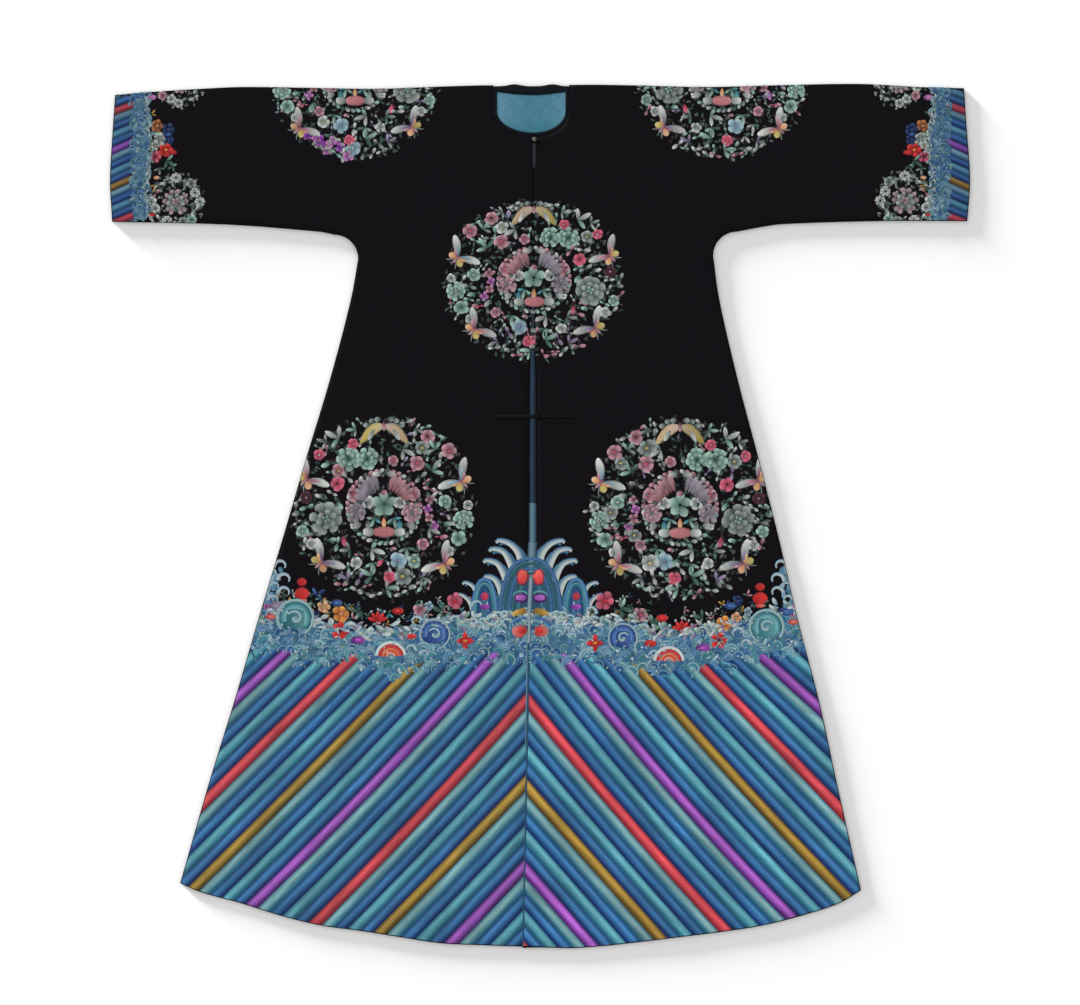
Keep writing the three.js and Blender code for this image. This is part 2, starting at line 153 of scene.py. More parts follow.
def frontEdgeX(side, down):
    # The right front starts past the blue strip and a gap on either side of it
    if side < 0:
        return leftEdgeX(down)
    width = stripWidth(down)
    return leftEdgeX(down) + coat["seamGap"] + np.where(width > 0, width + coat["seamGap"], 0)


def backSeamX(side, down):
    # The back's middle seam, straight from the neck to the hem, half a gap to the side
    seam = mix(coat["neckX"], frontEdge[-1, 1], down / coat["length"])
    return seam + side * coat["seamGap"] / 2


def shoulderRow(x):
    # Where the front ends and the fold's round begins, at any x
    x = np.asarray(x, float)
    out = np.abs(x)
    edge = np.where(x < 0, smoothThrough(leftCut["shoulder"], out), smoothThrough(rightCut["shoulder"], out))
    return edge + coat["wall"] + coat["seamGap"] / 2


def layOn(x, down, lift, isBack=False):
    # Cloth coordinates to space: flat on the front, round the fold, then flat under the back, where
    # the embroidery is pressed to a quarter of its height
    x, down, lift = np.broadcast_arrays(np.asarray(x, float), down, lift)
    row = shoulderRow(x)
    inner = frontUnder(x, np.maximum(row, 0)) / 2
    radius = inner + coat["wall"] / 2
    arc = math.pi * radius
    run = row - down
    if isBack:
        run = arc + down - row
    angle = math.pi / 2 - np.clip(run, 0, arc) / radius
    below = ((1 - np.sin(angle)) / 2) ** 2
    shell = radius - coat["backSkin"] * below + lift * (1 - 0.75 * below)
    onArc = (run > 0) & (run < arc)
    backDown = row + run - arc
    middle = coat["wall"] / 2 + inner
    z = np.where(run <= 0, frontUnder(x, down) + coat["wall"] + lift, coat["backSkin"] - lift / 4)
    z = np.where(onArc, middle + shell * np.sin(angle), z)
    flatDown = np.where(run <= 0, down, backDown)
    y = np.where(onArc, row - shell * np.cos(angle), flatDown)
    return toSpace(x, y, z)


def makeObject(name, points, faces, colours=None, uv=None):
    # Millimetre points and index rows to a mesh, with vertex colours and a map along the stitches
    mesh = bpy.data.meshes.new(name)
    size = faces.shape[1]
    mesh.vertices.add(len(points))
    mesh.vertices.foreach_set("co", (points * 0.001).astype(np.float32).ravel())
    mesh.loops.add(faces.size)
    mesh.loops.foreach_set("vertex_index", faces.astype(np.int32).ravel())
    mesh.polygons.add(len(faces))
    mesh.polygons.foreach_set("loop_start", np.arange(0, faces.size, size, dtype=np.int32))
    mesh.polygons.foreach_set("use_smooth", np.ones(len(faces), bool))
    mesh.update(calc_edges=True)
    if uv is not None:
        layer = mesh.uv_layers.new(name="stitches")
        layer.data.foreach_set("uv", uv[faces.ravel()].astype(np.float32).ravel())
    if colours is not None:
        attribute = mesh.color_attributes.new(name="floss", type="FLOAT_COLOR", domain="POINT")
        rgba = np.concatenate([colours, np.ones((len(colours), 1))], axis=1)
        attribute.data.foreach_set("color", rgba.astype(np.float32).ravel())
    mesh.validate()
    piece = bpy.data.objects.new(name, mesh)
    bpy.context.collection.objects.link(piece)
    return piece


def closedWall(points, outwards, quads, outer, inner):
    # Each point moves along its outward direction by the outer and inner amounts, and a rim of
    # quads joins the edges that only one face uses
    count = len(points)
    both = np.concatenate([points + outwards * outer, points + outwards * inner])
    edges = np.concatenate([quads[:, [k, (k + 1) % 4]] for k in range(4)])
    codes = edges[:, 0] * count + edges[:, 1]
    lone = edges[~np.isin(codes, edges[:, 1] * count + edges[:, 0])]
    rim = np.stack([lone[:, 1], lone[:, 0], lone[:, 0] + count, lone[:, 1] + count], axis=1)
    return both, np.concatenate([quads, quads[:, ::-1] + count, rim])


def neckPoint(side, turn, grow, top):
    # Opening's edge: a quarter of an ellipse from the bottom, then straight up to the shoulder
    width = (neck["leftWidth"] if side < 0 else neck["rightWidth"]) + grow
    angle = np.minimum(turn, 1) * math.pi / 2
    deep = neck["drop"] - neck["straight"] + grow
    x = coat["neckX"] + side * width * np.sin(angle)
    down = np.where(turn <= 1, neck["straight"] + deep * np.cos(angle), mix(neck["straight"], top, turn - 1))
    return x, down


def coatHalf(cut):
    # Two blocks, sleeve and body, as grids between their edges; the same for the back, and rows
    # of a half circle for the fold between them. Missing cells have the index -1
    side = cut["side"]
    step = coat["step"]
    (roundCount, sideCount), armCount = coat["neckCells"], coat["armCells"]
    neckCount = roundCount + sideCount
    seamStart = float(smoothThrough(cut["seam"], cut["underarm"]))
    seamEnd = cut["seam"][-1][1]
    cuffTop, cuffEnd = cut["cuff"][0][1], cut["cuff"][-1][1]
    bodyCount = neckCount + int((seamStart - 60) / step)
    sleeveCount = int((cuffEnd - seamStart) / step)
    columns = np.arange(bodyCount + armCount + sleeveCount + 1)
    last = columns[-1]
    bend = coat["underarmRadius"] / (cuffEnd - seamStart)
    past = (columns - bodyCount) / armCount
    share = np.where(past <= 1, bend * (1 - np.cos(np.clip(past, 0, 1) * math.pi / 2)),
                     mix(bend, 1, (columns - bodyCount - armCount) / sleeveCount))
    corner = float(neckPoint(side, 1, neck["grow"], 0)[0])
    cornerRow = float(shoulderRow(corner))

    def block(edgeX, isFront, rowCount):
        # The cloth above the underarm, between the shoulder or the neck's edge and the sleeve's lower edge
        inBody = columns <= bodyCount
        across = columns / bodyCount
        topX = np.where(inBody, mix(corner, side * seamStart, (columns - neckCount) / (bodyCount - neckCount)),
                        side * mix(seamStart, cuffTop, share))
        topX = np.where(columns < neckCount, mix(edgeX(np.array(0.0)), corner, columns / neckCount), topX)
        topDown = shoulderRow(topX)
        if isFront:
            turn = np.where(columns <= roundCount, columns / roundCount, 1 + (columns - roundCount) / sideCount)
            neckX, neckDown = neckPoint(side, np.minimum(turn, 2), neck["grow"], cornerRow)
            stretch = (corner - edgeX(neckDown)) / (corner - coat["neckX"])
            isNeck = columns < neckCount
            topX = np.where(isNeck, corner - (corner - neckX) * stretch, topX)
            topDown = np.where(isNeck, neckDown, topDown)
        out = mix(seamStart, cuffEnd, share)
        lowX = np.where(inBody, mix(edgeX(np.array(coat["chestDown"])), side * seamStart, across), side * out)
        armRise = coat["underarmRadius"] * np.sin(np.clip(past, 0, 1) * math.pi / 2)
        lowDown = np.where(past < 1, cut["underarm"] - armRise, smoothThrough(cut["sleeve"], out))
        lowDown = np.where(inBody, mix(coat["chestDown"], cut["underarm"], across), lowDown)
        rows = np.linspace(0, 1, rowCount + 1)[:, None]
        down = mix(topDown, lowDown, rows)
        x = mix(topX, lowX, rows)
        x[:, 0] = edgeX(down[:, 0])
        x[:, last] = side * smoothThrough(cut["cuff"], down[:, last])
        return x, down

    def body(edgeX, rowCount):
        # The cloth from there to the hem, between the middle and the side seam
        across = columns[:bodyCount + 1] / bodyCount
        endX = mix(edgeX(np.array(coat["length"])), side * seamEnd, across)
        start = mix(coat["chestDown"], cut["underarm"], across)
        rows = np.linspace(0, 1, rowCount + 1)[1:, None]
        down = mix(start, smoothThrough(cut["hem"], np.abs(endX)), rows)
        return mix(edgeX(down), side * smoothThrough(cut["seam"], down), across), down

    frontX = lambda down: frontEdgeX(side, down)
    backX = lambda down: backSeamX(side, down)
    bodyLength, armWidth = 1116, 240
    bodyRows, armRows = int(bodyLength / step), int(armWidth / step)
    pointRows, outRows = [], []

    def addRows(x, down, z, outward):
        # Rows are padded on the right, or on the left for the fold, to the full column count
        rows = np.full((len(x), last + 1, 3), np.nan)
        start = last + 1 - x.shape[1] if x.shape[1] > bodyCount + 1 else 0
        rows[:, start:start + x.shape[1]] = toSpace(x, down, z)
        pointRows.append(rows)
        outRows.append(np.broadcast_to(outward, rows.shape))

    half = coat["wall"] / 2
    for x, down in (body(frontX, bodyRows), block(frontX, True, armRows)):
        addRows(x[::-1], down[::-1], frontUnder(x, down)[::-1] + half, [0, 0, 1])
    angle = np.linspace(0, math.pi, coat["foldRows"])[1:-1, None]
    foldX, foldDown = x[:1, neckCount:], down[:1, neckCount:]
    radius = frontUnder(foldX, foldDown) / 2
    outward = np.zeros((len(angle), last + 1, 3))
    outward[..., 1], outward[..., 2] = np.sin(angle), np.cos(angle)
    addRows(np.repeat(foldX, len(angle), 0), foldDown - radius * np.sin(angle),
            half + radius + radius * np.cos(angle), outward)
    for x, down in (block(backX, False, armRows // 2), body(backX, bodyRows // 2)):
        addRows(x, down, np.full(x.shape, half), [0, 0, -1])

    grid, outwards = np.concatenate(pointRows), np.concatenate(outRows)
    there = ~np.isnan(grid[..., 0])
    index = np.where(there, np.cumsum(there).reshape(there.shape) - 1, -1)
    quads = gridQuads(index)
    quads = quads[(quads >= 0).all(axis=1)]
    if side < 0:
        quads = quads[:, ::-1]
    points, outwards = grid[there], outwards[there]
    outer = (half - coat["backSkin"] * ((1 - outwards[:, 2]) / 2) ** 2)[:, None]
    return closedWall(points, outwards, quads, outer, -half)


def linear(colour):
    # Screen colour of 0 to 255 to the linear value that shaders take
    value = np.asarray(colour, float) / 255
    return np.where(value <= 0.04045, value / 12.92, ((value + 0.055) / 1.055) ** 2.4)


def litToShadedTones(light, deep, lean):
    # A row of colours across a strip, each from the light tone towards the deep one by its share: painted highlight
    # where the share is low, painted shade where it is high
    return mix(np.array(light, float), np.array(deep, float), np.array(lean)[:, None])


def setInputs(material, node, inputs):
    # Each input takes a value, or the output of another node
    for socket, value in inputs.items():
        if isinstance(value, bpy.types.NodeSocket):
            material.node_tree.links.new(value, node.inputs[socket])
        else:
            node.inputs[socket].default_value = value


def newMaterial(name, inputs):
    # A material and its shader, with the shader's own inputs set
    material = bpy.data.materials.new(name)
    material.use_nodes = True
    shader = material.node_tree.nodes["Principled BSDF"]
    setInputs(material, shader, inputs)
    return material, shader


def addNode(material, kind, inputs=(), **fields):
    # A shader node with its fields set before its inputs, as they decide which inputs it has
    node = material.node_tree.nodes.new("ShaderNode" + kind)
    for field, value in fields.items():
        setattr(node, field, value)
    setInputs(material, node, dict(inputs))
    return node


def patchyTone(material, place, low, high, **noise):
    # Screen colours mixed by a noise over the piece's own coordinates
    patches = addNode(material, "TexNoise", {"Vector": place, **noise})
    tones = {"Factor": patches.outputs["Fac"], "A": (*linear(low), 1), "B": (*linear(high), 1)}
    return addNode(material, "Mix", tones, data_type="RGBA").outputs["Result"]


def satinMaterial():
    # Black satin: near black with faint warm and cool patches, a fine weave and slubs in the bump
    look = {"cool": (9, 8, 13), "warm": (14, 10, 14), "patches": 9.0, "weave": 900.0, "slub": 55.0}
    material, shader = newMaterial("blackSatin", {"Roughness": 0.5, "Specular IOR Level": 0.05})
    place = addNode(material, "TexCoord").outputs["Object"]
    weave = addNode(material, "TexWave", {"Vector": place, "Scale": look["weave"], "Distortion": 1.5},
                    bands_direction="X")
    slubs = addNode(material, "TexNoise", {"Vector": place, "Scale": look["slub"]})
    fine = addNode(material, "Bump", {"Strength": 0.08, "Distance": 0.0003, "Height": weave.outputs["Fac"]})
    coarse = addNode(material, "Bump", {"Strength": 0.25, "Distance": 0.002, "Height": slubs.outputs["Fac"],
                                        "Normal": fine.outputs["Normal"]})
    setInputs(material, shader, {
        "Base Color": patchyTone(material, place, look["cool"], look["warm"], Scale=look["patches"], Detail=5.0),
        "Normal": coarse.outputs["Normal"]})
    return material


def finish(piece, material, nodes=()):
    # Every piece takes its material and rides on the one body, and some stand for CAD nodes
    piece.data.materials.append(material)
    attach(piece, "root")
    if nodes:
        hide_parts(*nodes)
    return piece


blackSatin = satinMaterial()
for name, node, cut in (("coatLeft", "coat_left", leftCut), ("coatRight", "coat_right", rightCut)):
    finish(makeObject(name, *coatHalf(cut)), blackSatin, [node])


# Silk colours of the embroidery, from root to tip of a stitch block, as screen values
palette = {
    "mint": ((70, 104, 94), (182, 214, 200)), "pale": ((106, 116, 114), (222, 224, 218)),
    "grey": ((64, 76, 74), (172, 182, 178)), "dusty": ((116, 66, 82), (212, 166, 174)),
    "rose": ((164, 50, 80), (220, 118, 138)), "lilac": ((96, 84, 118), (170, 158, 182)),
    "orchid": ((128, 66, 132), (206, 140, 196)), "ice": ((92, 130, 148), (176, 198, 210)),
    "yolk": ((170, 144, 70), (214, 200, 134)), "apricot": ((196, 124, 80), (228, 190, 154)),
    "maroon": ((40, 18, 30), (84, 40, 56)), "leaf": ((34, 66, 60), (92, 128, 112)),
    "red": ((164, 18, 22), (226, 60, 56)), "coral": ((190, 50, 50), (236, 138, 124)),
    "violet": ((92, 24, 120), (186, 92, 196)), "gold": ((122, 84, 20), (214, 176, 84)),
    "orange": ((190, 92, 30), (244, 176, 92)), "blue": ((18, 48, 118), (82, 122, 180)),
    "teal": ((24, 92, 106), (112, 172, 176)), "foam": ((150, 176, 184), (224, 230, 224)),
    "navy": ((8, 24, 66), (34, 66, 120)), "thicket": ((16, 26, 26), (44, 62, 58)),
    "moss": ((26, 48, 44), (78, 102, 94)), "ash": ((44, 52, 54), (104, 112, 110)),
    "shadow": ((24, 16, 22), (74, 52, 60)),
}


class Floss:
    # Gathers stitched shapes in cloth coordinates: lobes (petals, leaves, wings, dots) and grids
    # (ribbons, fills). Every shape is a low dome whose rim is sunk into the cloth
    def __init__(self, seed, light=1.0):
        self.rows, self.grids = [], []
        self.light = light
        self.chance = np.random.default_rng(seed)

    def lobe(self, x, down, angle, long, wide, tone, bend=0.0, peak=1.2, full=0.7, lift=0.0, high=0.4):
        # Angle in degrees, 0 to the right and 90 towards the hem
        light = self.light * self.chance.uniform(0.86, 1.06)
        root, tip = (np.array(c) * light for c in (palette[tone] if isinstance(tone, str) else tone))
        self.rows.append((x, down, math.radians(angle), long, wide, bend, peak, full, lift, high, *root, *tip))

    def bead(self, x, down, long, wide, tone, lift):
        # A round or oval spot about its middle
        self.lobe(x - long / 2, down, 0, long, wide, tone, peak=1.0, full=0.5, lift=lift)

    def pick(self, choices):
        # One of them at random
        return choices[self.chance.integers(len(choices))]

    def lobeGrid(self):
        # All lobes as grids of 7 by 4 points.
        # Half width is wide / 2 times sin(pi u^peak)^full, and the middle line bends by bend * long * u^2
        rows = np.array(self.rows).T[:, :, None, None]
        x, down, angle, long, wide, bend, peak, full, lift, high = rows[:10]
        u = np.array([0, 0.1, 0.3, 0.52, 0.74, 0.92, 1])[None, :, None]
        v = np.array([-1, -0.55, 0.55, 1])[None, None, :]
        half = wide / 2 * (0.06 + 0.94 * np.sin(math.pi * np.clip(u, 0.001, 0.999) ** peak) ** full)
        along, aside = long * u, bend * long * u * u + v * half
        raised = (np.abs(v) < 1) * np.array([0, 0.8, 1, 1, 1, 0.8, 0])[None, :, None]
        # Rim points are darker: painted shade where each lobe sinks into the cloth
        shade = np.where(np.abs(v) < 1, 1.0, 0.72)[..., None]
        root, tip = np.moveaxis(rows[10:13], 0, -1), np.moveaxis(rows[13:16], 0, -1)
        self.grids.append((x + np.cos(angle) * along - np.sin(angle) * aside,
                           down + np.sin(angle) * along + np.cos(angle) * aside,
                           mix(-0.1, lift + high, raised), mix(root, tip, u[..., None]) * shade,
                           np.stack(np.broadcast_arrays(along, aside), axis=-1)))
        self.rows = []

    def ribbon(self, path, wide, colours, lift=0.0, high=0.4, ends=(1.0, 1.0)):
        # Colours run across, from the left of the path to the right. The width at each end is a share
        path, colours = np.asarray(path, float), np.atleast_2d(np.asarray(colours, float))
        step = np.gradient(path, axis=0)
        step /= np.hypot(step[:, 0], step[:, 1])[:, None]
        run = np.concatenate([[0], np.cumsum(np.hypot(*np.diff(path, axis=0).T))])
        v = np.concatenate([[-1], np.linspace(-0.8, 0.8, max(len(colours), 2)), [1]])
        # The two rim rows are darker copies of the outer colours: painted shade where the ribbon sinks into the cloth
        across = np.concatenate([colours[:1] * 0.75, colours if len(colours) > 1 else colours[[0, 0]],
                                 colours[-1:] * 0.75])
        half = wide / 2 * mix(*ends, (run / run[-1]) ** 1.4)[:, None]
        raised = np.repeat((np.abs(v) < 1)[None] * 1.0, len(path), 0)
        raised[[0, -1]] = 0
        dome = np.sqrt(1 - (0.85 * v) ** 2)[None]
        self.grid(path[:, :1] + step[:, 1:] * v * half, path[:, 1:] - step[:, :1] * v * half,
                  mix(-0.1, lift + high * dome, raised), np.repeat(across[None], len(path), 0),
                  np.stack(np.broadcast_arrays(v * half, run[:, None]), axis=-1))

    def fill(self, x, down, colours, lift=0.15):
        # A grid whose border is sunk into the cloth
        height = np.full(x.shape, lift)
        height[[0, -1]] = height[:, [0, -1]] = -0.1
        self.grid(x, down, height, np.broadcast_to(colours, (*x.shape, 3)), np.stack([x, down], axis=-1))

    def grid(self, x, down, height, colours, stitches):
        # Rows of points with their height, colour and place along and across the stitches
        self.grids.append(tuple(a[None] for a in (x, down, height, colours * self.light, stitches)))

    def build(self, name, isBack=False, free=False):
        # Grids to one mesh laid on the cloth. A grid that a mirror turned over has its faces reversed, and
        # cells that keepOnCloth closed up are dropped
        if self.rows:
            self.lobeGrid()
        points, faces, colours, maps = [], [], [], []
        start = 0
        for x, down, lift, colour, stitch in self.grids:
            if not free:
                x, down = keepOnCloth(x, down, isBack)
            index = np.arange(x.size).reshape(x.shape)
            quads = np.stack([index[:, :-1, :-1], index[:, :-1, 1:], index[:, 1:, 1:], index[:, 1:, :-1]], axis=-1)
            flatX, flatY = x.ravel()[quads], -down.ravel()[quads]
            area = 0.5 * ((flatX[..., 2] - flatX[..., 0]) * (flatY[..., 3] - flatY[..., 1])
                          - (flatX[..., 3] - flatX[..., 1]) * (flatY[..., 2] - flatY[..., 0]))
            turned = area.sum(axis=(1, 2)) < 0
            quads[turned] = quads[turned][..., ::-1]
            points.append(layOn(x, down, lift, isBack).reshape(-1, 3))
            faces.append(quads[np.abs(area) > 0.02] + start)
            colours.append(np.broadcast_to(colour, (*x.shape, 3)).reshape(-1, 3))
            maps.append(np.broadcast_to(stitch, (*x.shape, 2)).reshape(-1, 2))
            start += x.size
        points, faces, colours, maps = (np.concatenate(a) for a in (points, faces, colours, maps))
        used, faces = np.unique(faces, return_inverse=True)
        faces = faces.reshape(-1, 4)
        if isBack:
            faces = faces[:, ::-1]
        piece = makeObject(name, points[used], faces, linear(np.clip(colours[used], 0, 255)), maps[used])
        finish(piece, flossSilk)
        print(name, len(faces))


def keepOnCloth(x, down, isBack):
    # Points past the side seams, sleeves, cuffs, hem or front edges move back onto the cloth
    edge, seamEdge, middleEdge = 1.0, 0.3, 0.4
    sleeveOut, cuffOut = 325, 600
    x, down = np.broadcast_arrays(np.asarray(x, float), down)
    row = shoulderRow(x)
    arc = math.pi * (frontUnder(x, np.maximum(row, 0)) + coat["wall"]) / 2
    behind = (down < row) & (not isBack)
    flat = np.where(behind, 2 * row - arc - down, down)
    out = np.abs(x)
    either = lambda key, at: np.where(x < 0, smoothThrough(leftCut[key], at), smoothThrough(rightCut[key], at))
    underarm = np.where(x < 0, leftCut["underarm"], rightCut["underarm"])
    body = flat > underarm
    low = np.where(out > sleeveOut, either("sleeve", out), either("hem", out)) - edge
    flat = np.where(body & (out > cuffOut), flat, np.minimum(flat, np.where(body, either("hem", out) - edge, low)))
    most = np.where(body, either("seam", flat), either("cuff", flat)) - edge
    x = np.clip(x, -most, most)
    down = np.where(behind, 2 * row - arc - flat, flat)
    if isBack:
        seam = backSeamX(0, down)
        x = np.where(x < seam, np.minimum(x, seam - seamEdge), np.maximum(x, seam + seamEdge))
    else:
        middle = (frontEdgeX(-1, down) + frontEdgeX(1, down)) / 2
        kept = np.where(x < middle, np.minimum(x, frontEdgeX(-1, down) - middleEdge),
                        np.maximum(x, frontEdgeX(1, down) + middleEdge))
        x = np.where(down > row, kept, x)
    return x, down


def arcPath(x, down, radius, start, end, count=14, squash=1.0):
    # Part of an ellipse between two angles in degrees
    angle = np.radians(np.linspace(start, end, count))
    return np.stack([x + radius * np.cos(angle), down + squash * radius * np.sin(angle)], axis=1)


def spiralPath(x, down, outer, inner, start, end, count=22):
    # An arc whose radius runs evenly from the outer to the inner one
    return arcPath(x, down, np.linspace(outer, inner, count), start, end, count)


def curvePath(points, count=10):
    # A smooth line through a few points, by cubics in x and in down over the distance so far
    points = np.asarray(points, float)
    far = np.concatenate([[0], np.cumsum(np.hypot(*np.diff(points, axis=0).T))])
    at = np.linspace(0, far[-1], count)
    return np.stack([smoothThrough(np.stack([far, points[:, k]], 1), at) for k in (0, 1)], axis=1)


class Place:
    # A motif's spot: its own coordinates run from -1 to 1 over the half sizes, mirrored or not
    def __init__(self, floss, x, down, across, along, mirror=1):
        self.floss, self.mirror = floss, mirror
        self.x, self.down, self.across, self.along = x, down, across, along
        self.size = (across + along) / 2
        self.taken = []

    def lobe(self, x, y, angle, long, wide, tone, bend=0.0, **more):
        # Lengths are shares of the mean of both half sizes
        self.floss.lobe(self.x + self.mirror * self.across * x, self.down + self.along * y,
                        angle if self.mirror > 0 else 180 - angle, long * self.size, wide * self.size, tone,
                        bend=bend * self.mirror, **more)

    def take(self, x, y, radius):
        # A circle where no small motif may start
        self.taken.append((x, y, radius))

    def isFree(self, x, y, radius):
        # True where no circle that was taken comes within the radius
        taken = np.array(self.taken)
        return (np.hypot(x - taken[:, 0], y - taken[:, 1]) > taken[:, 2] + radius).all()


def polar(angle, far=1.0):
    # The point at a distance in the direction of an angle in degrees
    return far * math.cos(math.radians(angle)), far * math.sin(math.radians(angle))


def petals(place, x, y, count, inner, long, wide, tone, turn=0.0, **more):
    # Lobes round a centre, their roots on a circle of radius inner, no two quite alike
    chance = place.floss.chance
    for k in range(count):
        angle = turn + 360 * k / count + chance.uniform(-9, 9)
        rootX, rootY = polar(angle, inner)
        place.lobe(x + rootX, y + rootY, angle, long * chance.uniform(0.84, 1.08),
                   wide * chance.uniform(0.92, 1.18), tone, **more)


def dot(place, x, y, size, tone, **more):
    # A round spot about its middle
    place.lobe(x - size / 2, y, 0, size, size, tone, peak=1.0, full=0.5, **more)


def tuft(place, x, y, size, turn, tone, heart=None):
    # Two leaves back to back
    place.lobe(x, y, turn + 20, size * 1.1, size * 0.62, tone)
    place.lobe(x, y, turn + 195, size * 0.9, size * 0.56, tone, lift=0.1)


def blossom(place, x, y, size, turn, tone, heart="yolk"):
    # Five petals and a round heart
    petals(place, x, y, 5, size * 0.1, size * 0.84, size * 1.0, tone, turn, peak=1.5, full=0.5)
    dot(place, x, y, size * 0.4, heart, lift=0.3)


def peony(place, x, y, size, turn, tone, heart="grey"):
    # Rings of eight, six and four petals, one on the other
    petals(place, x, y, 8, size * 0.36, size * 0.6, size * 0.66, tone, turn, peak=1.5, full=0.5)
    petals(place, x, y, 6, size * 0.12, size * 0.46, size * 0.46, tone, turn + 25, peak=1.5, full=0.5, lift=0.25)
    petals(place, x, y, 4, 0, size * 0.24, size * 0.2, heart, turn + 10, lift=0.5)


def leaves(place, x, y, size, turn, tone, heart="leaf"):
    # Three leaves from one stalk
    place.lobe(x, y, turn, size * 1.25, size * 0.5, tone, bend=0.1)
    place.lobe(x, y, turn + 62, size * 0.95, size * 0.42, tone, bend=0.15)
    place.lobe(x, y, turn - 62, size * 0.95, size * 0.42, heart, bend=-0.15)


def bud(place, x, y, size, turn, tone, heart="leaf"):
    # One closed flower on a stalk with a leaf
    place.lobe(x, y, turn, size * 1.3, size * 0.75, tone, peak=1.4)
    place.lobe(x, y, turn + 180, size * 0.7, size * 0.3, heart)
    place.lobe(x, y, turn + 45, size * 0.7, size * 0.34, heart, lift=0.2)


def chain(place, x, y, size, turn, tone, heart="pale"):
    # Four small florets along a line that bows by a third of their size
    c, s = polar(turn)
    for k in range(4):
        along, bow = size * (k - 1.5) * 0.75, size * 0.35 * math.sin(math.pi * k / 3)
        petals(place, x + c * along - s * bow, y + s * along + c * bow, 4, 0.02 * size, size * 0.42, size * 0.4,
               tone if k % 2 else heart, turn + 30 * k)


def butterfly(place, x, y, size, turn, tone, heart="dusty"):
    # Two fore wings at 46 degrees to the axis, two hind wings, a body and two feelers
    for side in (-1, 1):
        place.lobe(x, y, turn + side * 46, size, size * 0.38, tone, bend=side * 0.16, peak=1.4, full=0.55, lift=0.2)
        place.lobe(x, y, turn + side * 42, size * 0.62, size * 0.2, heart, bend=side * 0.12, lift=0.45)
        place.lobe(x, y, turn + side * 62, size * 0.42, size * 0.2, "dusty" if side > 0 else "apricot", lift=0.4)
        place.lobe(x, y, turn + side * 112, size * 0.42, size * 0.34, "apricot" if side > 0 else "yolk", peak=1.5,
                   lift=0.1)
        place.lobe(x, y, turn + 180 + side * 20, size * 0.5, size * 0.06, "grey", bend=side * 0.3)
    headX, headY = polar(turn, 0.18 * size)
    place.lobe(x + headX, y + headY, turn + 180, size * 0.5, size * 0.14, "dusty", lift=0.5)


